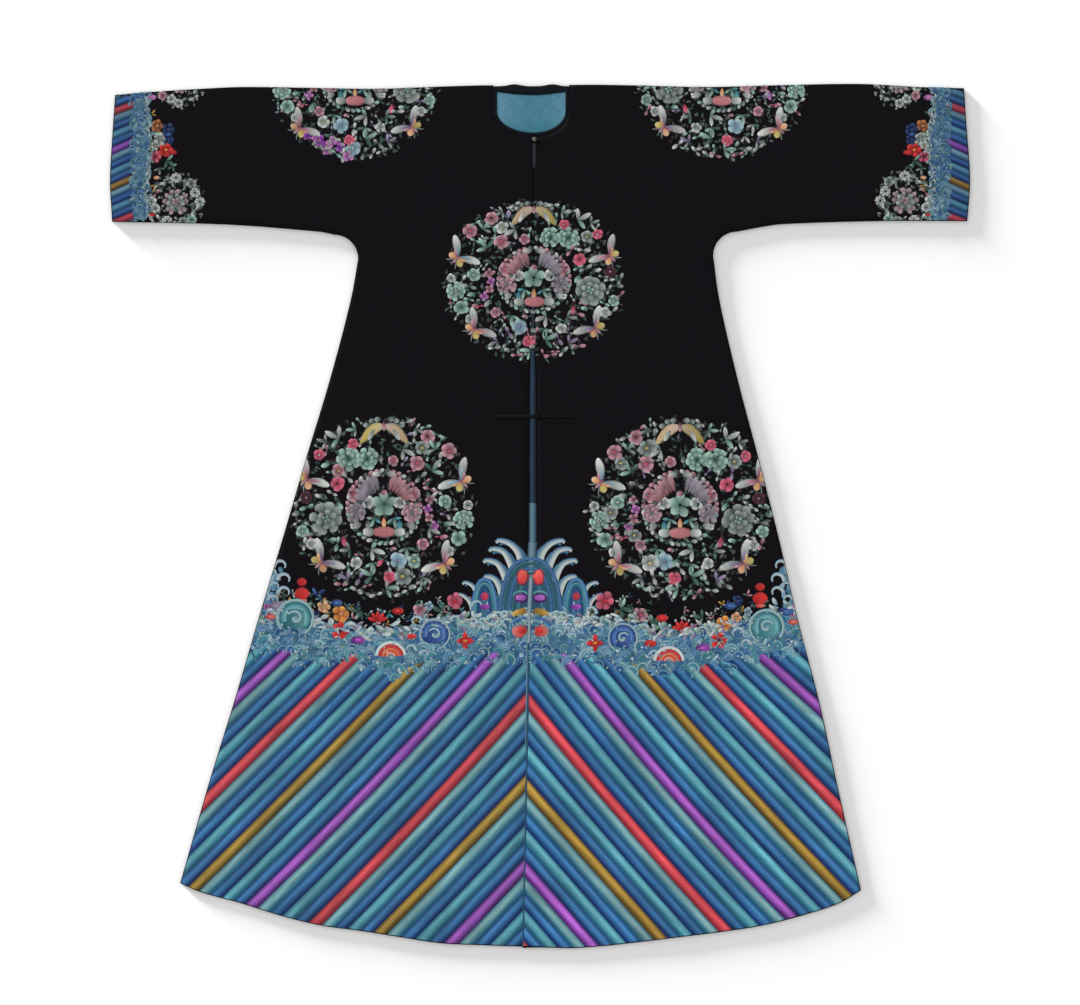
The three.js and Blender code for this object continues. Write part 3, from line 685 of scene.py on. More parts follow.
# A roundel of butterflies and flowers: kind, x, y, size, turn, silk, heart. Its radius is 1
roundelMotifs = [
    (butterfly, 0.84, -0.27, 0.29, 222, "pale", "ice"), (butterfly, -0.84, -0.29, 0.28, 318, "pale", "dusty"),
    (butterfly, -0.68, 0.60, 0.29, 316, "pale", "lilac"), (butterfly, 0.66, 0.62, 0.29, 220, "pale", "dusty"),
    (peony, -0.38, -0.52, 0.14, 0, "mint", "leaf"), (peony, -0.18, -0.52, 0.13, 20, "mint", "leaf"),
    (peony, -0.62, 0.13, 0.19, 10, "grey", "mint"), (peony, 0.86, 0.14, 0.12, 0, "mint", "pale"),
    (blossom, 0.80, 0.34, 0.11, 15, "mint", "leaf"), (blossom, 0.91, -0.02, 0.07, 0, "pale", "leaf"),
    (blossom, 0.70, 0.48, 0.08, 40, "pale", "grey"), (leaves, -0.48, -0.74, 0.14, 200, "pale", "mint"),
    (leaves, -0.30, -0.84, 0.09, 170, "mint", "grey"), (blossom, -0.33, -0.68, 0.08, 10, "rose", "dusty"),
    (blossom, -0.70, -0.56, 0.08, 0, "rose", "pale"), (blossom, -0.50, -0.25, 0.10, 30, "rose", "maroon"),
    (blossom, 0.47, -0.76, 0.10, 20, "dusty", "maroon"), (leaves, 0.34, -0.84, 0.08, 20, "grey", "pale"),
    (blossom, 0.70, -0.60, 0.11, 0, "dusty", "rose"), (blossom, 0.36, -0.47, 0.11, 12, "dusty", "rose"),
    (leaves, 0.52, -0.38, 0.13, -60, "mint", "leaf"), (leaves, 0.56, -0.62, 0.10, 230, "mint", "grey"),
    (leaves, 0.20, -0.62, 0.12, 20, "pale", "grey"), (blossom, 0.10, -0.50, 0.08, 0, "dusty", "rose"),
    (bud, -0.02, -0.56, 0.06, 100, "grey", "leaf"), (chain, 0.52, 0.06, 0.13, 80, "orchid", "dusty"),
    (blossom, 0.66, -0.06, 0.10, 0, "mint", "pale"), (bud, 0.64, 0.17, 0.08, 10, "mint", "leaf"),
    (bud, 0.60, 0.32, 0.07, 0, "dusty", "rose"), (blossom, 0.42, 0.40, 0.08, 0, "dusty", "lilac"),
    (blossom, 0.16, 0.58, 0.12, 5, "ice", "lilac"), (blossom, 0.06, 0.76, 0.09, 20, "rose", "coral"),
    (leaves, -0.12, 0.74, 0.13, 200, "mint", "leaf"), (leaves, 0.02, 0.88, 0.12, -10, "mint", "pale"),
    (leaves, -0.14, 0.46, 0.13, 10, "pale", "mint"), (leaves, -0.36, 0.46, 0.10, 170, "grey", "leaf"),
    (leaves, -0.12, 0.60, 0.10, 80, "mint", "leaf"), (bud, 0.06, 0.45, 0.06, 0, "dusty", "grey"),
    (leaves, 0.24, 0.44, 0.10, 80, "mint", "leaf"), (blossom, -0.30, 0.60, 0.08, 0, "pale", "grey"),
    (bud, -0.44, 0.31, 0.09, 80, "rose", "maroon"), (bud, -0.60, 0.35, 0.07, 0, "mint", "leaf"),
    (blossom, -0.88, 0.26, 0.09, 0, "mint", "pale"), (blossom, -0.78, 0.40, 0.08, 30, "pale", "mint"),
    (bud, -0.90, 0.08, 0.07, 180, "grey", "leaf"), (blossom, -0.84, -0.10, 0.09, 0, "maroon", "dusty"),
    (bud, -0.66, -0.10, 0.07, 200, "pale", "leaf"), (bud, -0.50, -0.06, 0.08, 60, "mint", "leaf"),
    (leaves, -0.38, 0.78, 0.10, 200, "lilac", "grey"), (bud, 0.26, 0.86, 0.07, 0, "pale", "grey"),
    (leaves, 0.40, 0.76, 0.10, 20, "grey", "lilac"), (leaves, -0.62, -0.70, 0.09, 190, "grey", "pale"),
]
fillers = [
    (leaves, "mint"), (leaves, "grey"), (blossom, "pale"), (bud, "mint"), (bud, "pale"), (blossom, "dusty"),
    (leaves, "pale"), (bud, "lilac"), (blossom, "grey"), (bud, "rose"), (blossom, "mint"), (peony, "pale"),
    (bud, "pale"), (leaves, "pale"),
]
fleckTones = ["pale", "mint", "grey", "pale", "mint", "dusty", "grey", "lilac", "moss", "pale"]


def topButterfly(place):
    # Seen from above, its long wings hanging to both sides in an arch, florets above them
    for side, wing in ((-1, ((196, 178, 150), (176, 160, 72))), (1, ((214, 190, 176), (204, 178, 130)))):
        place.lobe(0, -0.87, 90 - side * 88, 0.27, 0.15, wing, bend=side * 0.62, peak=1.15, full=0.5, lift=0.25)
        place.lobe(side * 0.09, -0.84, 90 - side * 48, 0.14, 0.07, "pale", bend=side * 0.25, lift=0.45)
        for k in range(3):
            place.lobe(side * (0.03 + 0.06 * k), -0.95 + 0.015 * k * k, 90 - side * 80, 0.075, 0.065, "grey",
                       lift=0.1)
    place.lobe(0, -0.92, 90, 0.1, 0.05, "dusty", lift=0.5)
    place.take(0, -0.84, 0.2)


def medallion(place):
    # The middle of a large roundel: a thin ring, a canopy of two arcs, a star and a footed tray
    for k in range(40):
        ring = ("dusty", "pale", "ash", "dusty") if k >= 19 else ("pale", "grey", "mint", "moss")
        place.lobe(*polar(9 * k, 0.37), 9 * k + 62, 0.075, 0.05, ring[k % 4])
    for side, wing, bloom, foot in (
            (-1, ((104, 98, 112), (158, 150, 160)), ((104, 96, 106), (160, 150, 160)), "grey"),
            (1, ((122, 78, 86), (184, 142, 146)), ((134, 96, 106), (196, 162, 170)), "teal")):
        for k in range(6):
            angle = 270 + side * (16 + 9.5 * k)
            x, y = polar(angle, 0.2)
            place.lobe(x, 0.02 + y, angle + side * 4, 0.21 - 0.008 * k, 0.075, wing, peak=1.3, full=0.5, lift=0.15)
            place.lobe(side * (0.13 + 0.012 * k), -0.22 + 0.028 * k, 90 - side * 140, 0.1, 0.05, wing, lift=0.3)
        place.lobe(side * 0.025, -0.36, 90 - side * 88, 0.10, 0.075, "pale", peak=1.0, full=0.4, lift=0.3)
        place.lobe(side * 0.03, -0.26, 90 - side * 60, 0.14, 0.05, "moss", lift=0.1)
        blossom(place, side * 0.32, -0.13, 0.085, 20, "dusty", "rose")
        leaves(place, side * 0.2, -0.08, 0.09, 90 - side * 60, "ash", "thicket")
        blossom(place, side * 0.17, -0.05, 0.075, 0, "pale", "lilac")
        peony(place, side * 0.30, 0.06, 0.12, 0, bloom, "grey")
        place.lobe(side * 0.24, 0.18, 90 - side * 70, 0.13, 0.09, "pale", peak=1.0)
        place.lobe(side * 0.17, 0.14, 90, 0.1, 0.07, foot)
        leaves(place, side * 0.10, 0.12, 0.09, 90 - side * 20, "mint", "teal")
        place.lobe(side * 0.10, 0.27, 90 - side * 90, 0.13, 0.11, "pale", peak=1.0, full=0.35)
        leaves(place, side * 0.16, -0.16, 0.06, 90 - side * 140, "leaf", "mint")
    petals(place, 0, -0.03, 5, 0.01, 0.13, 0.12, "mint", -90, peak=1.3)
    dot(place, 0, -0.15, 0.08, "dusty", lift=0.1)
    place.lobe(0, 0.11, 90, 0.11, 0.06, "apricot", peak=1.4, lift=0.1)
    place.lobe(-0.12, 0.27, 0, 0.24, 0.13, ((176, 106, 110), (192, 124, 128)), peak=1.0, full=0.35, lift=0.3)
    place.take(0, 0, 0.455)


def discSpots(count, area):
    # Spots spread evenly over a disc. Each one's distance is the root of its share of the area, and its
    # angle is one golden angle past the last one's
    k = np.arange(count)
    far, angle = np.sqrt(area * (k + 0.5) / count), k * 2.39996
    return zip(far, far * np.cos(angle), far * np.sin(angle))


# Large roundels: stitches of the ground, the circle that the medallion's ring keeps free, spots along
# the rim, and the sizes of the small motifs with the number of tries for each
roundelLook = {
    "ground": 620, "groundArea": 0.98, "ringFree": (0.4, 0.465), "rim": 46, "rimFar": 0.95,
    "groundTones": ("thicket", "moss", "ash", "thicket", "shadow", "moss"),
    "rimTones": ("pale", "mint", "grey", "pale", "mint", "dusty", "pale"),
    "small": ((0.08, 160), (0.062, 320), (0.048, 600), (0.036, 900), (0.028, 1200)),
    "resize": {blossom: 0.86, butterfly: 0.93},
}


def roundel(floss, x, down, across, along, mirror=1, accents=()):
    # Dim stitches over the disc, the motifs, then small ones wherever a circle of their size is free
    look, chance = roundelLook, floss.chance
    place = Place(floss, x, down, across, along, mirror)
    for far, atX, atY in discSpots(look["ground"], look["groundArea"]):
        tone = floss.pick(look["groundTones"])
        if not look["ringFree"][0] < far < look["ringFree"][1]:
            place.lobe(atX, atY, chance.uniform(0, 360), chance.uniform(0.045, 0.08), chance.uniform(0.026, 0.04),
                       tone, high=0.2)
    topButterfly(place)
    medallion(place)
    for kind, atX, atY, size, turn, tone, heart in roundelMotifs:
        size *= look["resize"].get(kind, 1)
        kind(place, atX, atY, size, turn, tone, heart)
        place.take(atX, atY, size * (0.85 if kind in (butterfly, peony, blossom) else 0.7))
        if kind is butterfly:
            for side in (-1, 1):
                wingX, wingY = polar(turn + side * 46, 0.6 * size)
                place.take(atX + wingX, atY + wingY, size * 0.4)
    for kind, *rest in accents:
        kind(place, *rest)
    for k in range(look["rim"]):
        angle = k * 360 / look["rim"] + chance.uniform(-2, 2)
        at = polar(angle, look["rimFar"])
        if place.isFree(*at, 0.02):
            tuft(place, *at, 0.075, angle + chance.uniform(40, 130), floss.pick(look["rimTones"]))
            place.take(*at, 0.045)
    for reach, tries in look["small"]:
        for _ in range(tries):
            angle, far = chance.uniform(0, 360), math.sqrt(chance.uniform(0, 1)) * (1 - reach * 0.8)
            at = polar(angle, far)
            if place.isFree(*at, reach * 0.8):
                kind, tone = floss.pick(fillers)
                if reach < 0.05:
                    kind, tone = tuft, floss.pick(fleckTones)
                size = reach * (1.75 if kind is tuft else 1.35)
                kind(place, *at, size, angle + chance.uniform(-60, 60), tone)
                place.take(*at, reach)


# Small roundels: stitches of the ground, the dark ring, florets of the wreath
smallLook = {
    "ground": 210, "groundArea": 0.9409, "ring": (0.47, 0.58), "blush": ((108, 84, 94), (186, 164, 168)),
    "groundTones": ("ash", "moss", "grey", "thicket", "grey", "ash"),
    "wreath": 16, "wreathFar": 0.78, "wreathTones": ("pale", "grey", "mint", "pale", "pale", "dusty"),
}


def smallRoundel(floss, x, down, radius, mirror=1):
    # A full flower in the middle, a dark ring round it, then a wreath of pale florets
    look, chance = smallLook, floss.chance
    place = Place(floss, x, down, radius, radius, mirror)
    for k, (far, atX, atY) in enumerate(discSpots(look["ground"], look["groundArea"])):
        if not look["ring"][0] < far < look["ring"][1]:
            place.lobe(atX, atY, k * 77, 0.16, 0.1, floss.pick(look["groundTones"]), high=0.2)
    petals(place, 0, 0, 10, 0.24, 0.24, 0.19, look["blush"], lift=0.1)
    petals(place, 0, 0, 7, 0.08, 0.24, 0.2, "grey", 20, lift=0.25)
    petals(place, 0, 0, 5, 0, 0.15, 0.12, look["blush"], 10, lift=0.45)
    for k in range(look["wreath"]):
        angle = 360 / look["wreath"] * k + chance.uniform(-5, 5)
        kind = floss.pick((peony, blossom, tuft, blossom))
        kind(place, *polar(angle, look["wreathFar"] + 0.05 * (-1) ** k), 0.19, angle + 90,
             floss.pick(look["wreathTones"]), "moss")


def silkMaterial(name, look):
    # The vertex colour, lightly streaked along the stitches, with fine threads in the bump
    material, shader = newMaterial(name, {"Roughness": look["roughness"], "Specular IOR Level": look["specular"]})
    silk = addNode(material, "VertexColor", layer_name="floss")
    place = addNode(material, "UVMap", uv_map="stitches").outputs["UV"]
    stretch = addNode(material, "Mapping", {"Vector": place, "Scale": (0.25, 1.6, 1)})
    streaks = addNode(material, "TexNoise", {"Vector": stretch.outputs["Vector"], "Scale": look["streakScale"],
                                             "Detail": 3.0})
    spread = addNode(material, "MapRange", {"Value": streaks.outputs["Fac"], "From Min": 0.25, "From Max": 0.75,
                                            "To Min": 1 - look["streak"], "To Max": 1 + look["streak"]})
    shaded = addNode(material, "VectorMath", operation="SCALE")
    setInputs(material, shaded, {"Vector": silk.outputs["Color"], "Scale": spread.outputs["Result"]})
    threads = addNode(material, "TexWave", {"Vector": place, "Scale": look["threads"], "Distortion": 0.6},
                      bands_direction="Y")
    bump = addNode(material, "Bump", {"Strength": 0.35, "Distance": 0.0002, "Height": threads.outputs["Fac"]})
    setInputs(material, shader, {"Base Color": shaded.outputs["Vector"], "Normal": bump.outputs["Normal"]})
    return material


flossSilk = silkMaterial("flossSilk", {"roughness": 0.48, "specular": 0.18, "threads": 0.9, "streak": 0.24,
                                       "streakScale": 0.8})
trimSilk = silkMaterial("trimSilk", {"roughness": 0.55, "specular": 0.08, "threads": 1.4, "streak": 0.1,
                                     "streakScale": 0.35})


def ringQuads(rows):
    # Faces between rows of points that each run round
    beside = np.roll(rows, -1, axis=1)
    return np.stack([rows[:-1], rows[1:], beside[1:], beside[:-1]], axis=-1).reshape(-1, 4)


def lowStrip(name, left, right, bottom, high, silk, node, closed=False):
    # Rows from the left to the right edge, each as x and down, with a domed top over a flat bottom.
    # The silk's light and deep tone and its shares run across from the left edge to the right one, as a painted
    # highlight and painted shade over the domed top
    across = np.array([0, 0, 0.1, 0.36, 0.64, 0.9, 1, 1])
    up = np.array([0, 0.55, 0.88, 1, 1, 0.88, 0.55, 0])
    left, right = (np.asarray(a, float)[:, None] for a in (left, right))
    flat = mix(left, right, across[:, None])
    z = np.asarray(bottom, float)[:, None] + np.broadcast_to(high, len(flat))[:, None] * up
    points = toSpace(flat[..., 0], flat[..., 1], z).reshape(-1, 3)
    index = np.arange(len(points)).reshape(-1, len(across))
    quads = ringQuads(np.concatenate([index, index[:1]]) if closed else index)
    if not closed:
        ends = np.array([[0, 1, 6, 7], [1, 2, 5, 6], [2, 3, 4, 5]])
        quads = np.concatenate([quads, index[0][ends], index[-1][ends[:, ::-1]]])
    a, b, c, d = (points[quads[:, k]] for k in range(4))
    if (a * (np.cross(b, c) + np.cross(c, d))).sum() < 0:
        quads = quads[:, ::-1]
    light, deep, lean = silk
    tones = litToShadedTones(light, deep, np.interp(across, np.linspace(0, 1, len(lean)), lean))
    run = np.concatenate([[0], np.cumsum(np.hypot(*np.diff(flat.mean(axis=1), axis=0).T))])
    width = np.hypot(*(right - left)[:, 0].T)
    stitches = np.stack(np.broadcast_arrays(run[:, None], width[:, None] * across), axis=-1).reshape(-1, 2)
    piece = makeObject(name, points, quads, linear(np.tile(tones, (len(flat), 1))), stitches)
    return finish(piece, trimSilk, [node])


def neckLining():
    # The back's blue lining in the neck opening and 30 mm under the fronts round it, faintly mottled
    look = {"tuck": 30.0, "top": 10.0, "thick": 1.0, "middle": (68, 117, 138), "edge": (90, 132, 152),
            "low": (58, 114, 128), "lowFrom": 50, "lowTo": 78, "edgeFar": 58, "mottle": 0.05, "sag": 0.12,
            "cells": (56, 50)}
    turn = np.linspace(0.02, 2, look["cells"][0])[:, None]
    share = np.linspace(0, 1, look["cells"][1])
    leftX, down = neckPoint(-1, turn, look["tuck"], look["top"])
    x = mix(leftX, neckPoint(1, turn, look["tuck"], look["top"])[0], share)
    down = np.broadcast_to(down, x.shape)
    base = coat["wall"] + coat["seamGap"] + look["thick"] / 2
    z = base - look["sag"] * np.sin((x - coat["neckX"]) / 17) * np.sin(down / 13)
    points = toSpace(x, down, z).reshape(-1, 3)
    upwards = np.broadcast_to(np.array([0.0, 0.0, 1.0]), points.shape)
    points, quads = closedWall(points, upwards, gridQuads(np.arange(x.size).reshape(x.shape)), look["thick"] / 2,
                               -look["thick"] / 2)
    outer = np.clip(np.abs(x - coat["neckX"]) / look["edgeFar"], 0, 1)[..., None] ** 2
    low = smoothStep(down, look["lowFrom"], look["lowTo"])[..., None] * (1 - outer)
    tones = mix(mix(np.array(look["middle"], float), np.array(look["edge"], float), outer),
                np.array(look["low"], float), low)
    mottle = np.sin(x / 3.1 + 2 * np.sin(down / 5)) * np.sin(down / 2.6 + x / 9)
    tones = tones * (1 + look["mottle"] * mottle)[..., None]
    stitches = np.stack([x, down], axis=-1)
    tones, stitches = (np.tile(a.reshape(-1, a.shape[-1]), (2, 1)) for a in (tones, stitches))
    piece = makeObject("neckLining", points, quads, linear(tones), stitches)
    return finish(piece, trimSilk, ["neck_lining"])


def neckBinding():
    # The bias strip: up the right side from the bottom, along the back and down the left side, with
    # two small rises of its back edge
    # Its silk is a light and a deep tone with each row's share of the deep one: a painted highlight near the inner
    # edge and painted shade at both edges
    look = {"silk": ((9, 15, 24), (3, 7, 13), (1, 0, 0.5, 0.9)), "high": 2.4, "outer": 4.0,
            "rises": ((-41, 3.2), (20, 3.2)), "riseWidth": 13.0, "sidePoints": 34, "backPoints": 42}
    turn, share = np.linspace(0, 2, look["sidePoints"]), np.linspace(0, 1, look["backPoints"])[1:-1]
    sideEdge = lambda side, grow, top: np.stack(neckPoint(side, turn, grow, top), axis=1)
    backEdge = lambda grow: mix(neckPoint(1, 1, grow, 0)[0], neckPoint(-1, 1, grow, 0)[0], share)
    backX = backEdge(neck["binding"])
    rise = sum(high * np.exp(-((backX - x) / look["riseWidth"]) ** 2) for x, high in look["rises"])
    sag = neck["sag"] * np.sin(share * math.pi)
    ringEdge = lambda grow, top, backDown: np.concatenate([
        sideEdge(1, grow, top), np.stack([backEdge(grow), backDown], axis=1), sideEdge(-1, grow, top)[:0:-1]])
    inner = ringEdge(0, neck["top"], neck["top"] + sag)
    outer = ringEdge(neck["binding"], look["outer"], look["outer"] - rise)
    bottom = np.full(len(inner), coat["wall"] + coat["seamGap"] + coat["neckRise"])
    return lowStrip("neckBinding", inner, outer, bottom, look["high"], look["silk"], "neck_binding",
                    closed=True)


def edgeStrip():
    # The slate-blue strip at the right front's edge: a painted highlight on its left, and painted shade as a dark
    # line down both sides
    look = {"from": 322, "to": 905, "step": 6.0,
            "silk": ((42, 60, 76), (10, 18, 28), (1, 0.35, 0, 0.1, 0.45, 0.75, 1))}
    steps = np.arange(look["from"], look["to"], look["step"])
    down = np.unique(np.concatenate([steps, frontEdge[2:10, 0], [look["to"]]]))
    down = down[down >= look["from"]]
    x = leftEdgeX(down) + coat["seamGap"]
    left, right = np.stack([x, down], axis=1), np.stack([x + stripWidth(down), down], axis=1)
    return lowStrip("frontEdgeStrip", left, right, frontUnder(x, down), coat["wall"], look["silk"],
                    "front_edge_strip")


# Cords across the fronts and the tab under the button: place along, half width, height
cords = {"down": 538.0, "tabX": -9.2, "twist": 0.05, "step": 1.1, "press": 0.98,
         "loop": [(-80, 1.6, 1.2), (-77, 2.8, 1.9), (-40, 2.8, 2.0), (-10.5, 2.8, 2.0), (-8.3, 1.8, 1.4)],
         "knot": [(-7.9, 1.2, 2.0), (-6.4, 3.0, 4.6), (-4, 3.7, 5.4), (-1.6, 3.0, 4.6), (0.4, 2.0, 2.0),
                  (30, 2.1, 1.8), (61, 2.1, 1.8), (64, 1.2, 1.1)],
         "tab": [(96, 2.2, 1.1), (98, 3.6, 1.6), (128, 3.6, 1.6), (136, 1.8, 1.0)],
         # Silks: light tone, deep tone and each row's share of the deep one; the light rows are a painted highlight
         # along the cord and the tab, the deep edges painted shade
         "silk": ((12, 12, 16), (5, 5, 8), (0.9, 0, 0.45, 1)),
         "tabSilk": ((44, 44, 50), (14, 14, 18), (0.95, 0, 0.2, 1))}


def cord(name, rows, node, isTab=False):
    # Finer rows between those of the table, with a slight twist of its two strands
    rows = np.array(rows, float)
    at = np.unique(np.concatenate([rows[:, 0], np.arange(rows[0, 0], rows[-1, 0], cords["step"])]))
    half, high = (np.interp(at, rows[:, 0], rows[:, k]) for k in (1, 2))
    strand = 1 if isTab else 1 + cords["twist"] * np.cos(at * 2.2)
    x, down = (np.full(len(at), cords["tabX"]), at) if isTab else (at, np.full(len(at), cords["down"]))
    bottom = frontUnder(x, down) + coat["wall"] + coat["seamGap"]
    aside = half[:, None] * ((1, 0) if isTab else (0, 1))
    middle = np.stack([x, down], axis=1)
    return lowStrip(name, middle - aside, middle + aside, bottom, high * strand * cords["press"],
                    cords["tabSilk" if isTab else "silk"], node)


def neckButton():
    # A cast ball with faint ribs between its poles, worn pale
    look = {"x": -9.2, "down": 90.0, "radius": 4.2, "ribs": 0.03, "colour": (126, 124, 112), "dark": (70, 66, 54),
            "around": 40, "rings": 25, "wear": 420.0}
    count = look["around"]
    around = np.linspace(0, 2 * math.pi, count + 1)[:-1]
    angle = np.linspace(0, math.pi, look["rings"])[:, None]
    radius = look["radius"] * (1 - look["ribs"] * np.abs(np.sin(around * 4)) * np.sin(angle))
    base = frontUnder(np.array(look["x"]), np.array(look["down"])) + coat["wall"] + coat["seamGap"]
    grid = toSpace(look["x"] + radius * np.sin(angle) * np.cos(around),
                   look["down"] - radius * np.sin(angle) * np.sin(around),
                   base + look["radius"] + radius * np.cos(angle))
    points = np.concatenate([grid[0, :1], grid[1:-1].reshape(-1, 3), grid[-1, :1]])
    index = 1 + np.arange(len(points) - 2).reshape(-1, count)
    # The caps take two rim edges a quad, from a pole
    even = np.arange(0, count, 2)
    after = (even + 2) % count
    pole = np.zeros(len(even), int)
    top = np.stack([pole, index[0, even], index[0, even + 1], index[0, after]], axis=-1)
    low = np.stack([pole + len(points) - 1, index[-1, after], index[-1, even + 1], index[-1, even]], axis=-1)
    piece = makeObject("neckButton", points, np.concatenate([ringQuads(index), top, low]))
    brass, shader = newMaterial("wornBrass", {"Roughness": 0.42, "Metallic": 0.85})
    place = addNode(brass, "TexCoord").outputs["Object"]
    setInputs(brass, shader, {
        "Base Color": patchyTone(brass, place, look["dark"], look["colour"], Scale=look["wear"])})
    return finish(piece, brass, ["neck_button"])


lining = neckLining()
binding = neckBinding()
strip = edgeStrip()
waistLoop = cord("waistLoop", cords["loop"], "waist_loop")
waistKnot = cord("waistKnot", cords["knot"], "waist_knot")
buttonTab = cord("neckButtonTab", cords["tab"], "neck_button_tab", isTab=True)
button = neckButton()
print("trims", [len(p.data.polygons) for p in (lining, binding, strip, waistLoop, waistKnot, buttonTab, button)])

# Large roundels: x, down, half width, half height, mirrored or not
roundels = {
    "roundelChest": (-9.7, 317, 147, 131, -1), "roundelLowLeft": (-252.4, 684.4, 150, 150, 1),
    "roundelLowRight": (226.5, 686, 152, 150, -1), "roundelShoulderLeft": (-299.3, -8, 137, 131, -1),
    "roundelShoulderRight": (294.5, -8, 139, 131, 1),
}
backRoundels = {"roundelBack": (-12.0, 317, 147, 131, 1), "roundelBackLeft": (-252.4, 684.4, 150, 150, -1),
                "roundelBackRight": (226.5, 686, 152, 150, 1)}
accents = {"roundelShoulderLeft": [(chain, 0.25, 0.86, 0.17, 150, "orchid", "violet"),
                                   (chain, 0.45, 0.80, 0.13, 140, "orchid", "violet"),
                                   (blossom, 0.02, 0.86, 0.10, 0, "ice", "pale")]}
for number, (name, spot) in enumerate({**roundels, **backRoundels}.items()):
    floss = Floss(20 + number, light=0.9)
    roundel(floss, *spot, accents=accents.get(name, ()))
    floss.build(name, isBack=name in backRoundels)
smallSpots = {"cuffRoundelLeft": [(-583, -4, 43, 1), (-589, 191, 47, 1)],
              "cuffRoundelRight": [(580, -4, 43, -1), (590.6, 189, 48.5, -1)]}
for name, spots in smallSpots.items():
    for isBack in (False, True):
        floss = Floss(40, light=0.9)
        for spot in spots[1:] if isBack else spots:
            smallRoundel(floss, *spot)
        floss.build(name + ("Back" if isBack else ""), isBack)


# Guide lines of the hem's stripes: number, down where the line meets the centre, slope, bend. Each
# whole number is a bright stripe, and four teal and blue ones lie between two of them
hemGuides = {
    -1: np.array([(-1, 451, 0.93, 0), (0, 560, 0.93, 0), (1, 669, 0.9, 1e-4), (2, 749, 1.08, -9e-5),
                  (3, 868, 1.123, -1.8e-4), (4, 999, 1.126, -1.95e-4), (5, 1131.5, 1.047, -7e-5),
                  (6, 1265.3, 1.06, -1e-4), (7, 1399.6, 1.05, -1e-4)]),
    1: np.array([(-1, 487, 0.87, 0), (0, 590, 0.9, 0), (1, 659, 1.01, 4e-5), (2, 735, 1.233, -1.9e-4),
                 (3, 856, 1.333, -3.9e-4), (4, 1004, 1.243, -2.6e-4), (5, 1145, 1.13, 0),
                 (6, 1281, 1.15, 0), (7, 1412, 1.15, 0)]),
}
# Each stripe's silk as a light and a deep tone, and how far each row across a stripe leans to the deep one: a painted
# highlight near the upper edge, painted shade towards the lower one
stripeSilks = {
    "violet": ((166, 90, 182), (66, 22, 90)), "red": ((222, 78, 86), (122, 26, 38)),
    "gold": ((174, 134, 58), (70, 50, 14)), "mist": ((126, 158, 160), (22, 80, 106)),
    "azure": ((60, 114, 160), (0, 32, 84)), "teal": ((98, 156, 168), (20, 80, 104)),
    "navy": ((60, 114, 160), (8, 30, 78)),
}
seaOrder = ("mist", "azure", "teal", "navy")
stripeShadeShares = (0.5, 0, 0.2, 0.68, 1)
# Seven rows across a stripe: their place, as a share of the space between two guide lines, and their
# height. Then how uneven its silk is, where it starts and how light each side is
stripe = {"across": (-0.1, -0.08, -0.045, 0, 0.045, 0.08, 0.1), "shift": -0.02, "sunk": 1.2, "cell": 11,
          "rise": (0.18, 0.3, 0.4, 0.44, 0.4, 0.3, 0.18), "uneven": 0.075, "centre": {-1: -21.0, 1: -17.8},
          "light": {-1: (0.91, 0.97, 0.97), 1: (0.99, 1.03, 1.03)}}
# Edges of the wave band, x and down
waveLow = np.array([
    (-461.1, 919), (-404.5, 922.3), (-385.1, 941.7), (-339.8, 940.1), (-307.4, 930.4), (-275.1, 944.9),
    (-241.1, 967.6), (-210.3, 956.2), (-178, 944.9), (-113.3, 938.4), (-64.7, 932), (-16.2, 933.6), (32.4, 935.2),
    (80.9, 940.1), (145.6, 949.8), (178, 957.9), (208.7, 962.7), (242.7, 954.6), (291.2, 948.1), (356, 936.8),
    (404.5, 925.5), (461.1, 922.3),
])
waveTop = np.array([
    (-461.1, 854.3), (-417.4, 844.6), (-372.1, 864), (-339.8, 873.7), (-291.2, 880.2), (-242.7, 878.6),
    (-218.4, 881.8), (-194.2, 870.5), (-145.6, 864), (-113.3, 867.2), (-80.9, 859.2), (-48.5, 854.3),
    (-16.2, 857.5), (16.2, 854.3), (48.5, 859.2), (80.9, 867.2), (113.3, 864), (161.8, 870.5), (186.1, 881.8),
    (210.3, 878.6), (258.9, 880.2), (307.4, 873.7), (339.8, 864), (388.3, 844.6), (445, 854.3),
])


def seaLow(x):
    # The wave band's lower edge at any x
    return np.interp(x, *waveLow.T)


def seaTop(x):
    # And its upper edge
    return np.interp(x, *waveTop.T)


def nameOf(start, side, isBack=False):
    # A piece's name with its side and place
    return start + ("Left" if side < 0 else "Right") + ("Back" if isBack else "")


def onCloth(x, down, isBack=False):
    # True where keepOnCloth would leave a point in its place
    keptX, keptDown = keepOnCloth(x, down, isBack)
    return np.hypot(keptX - x, keptDown - down) < 1e-6


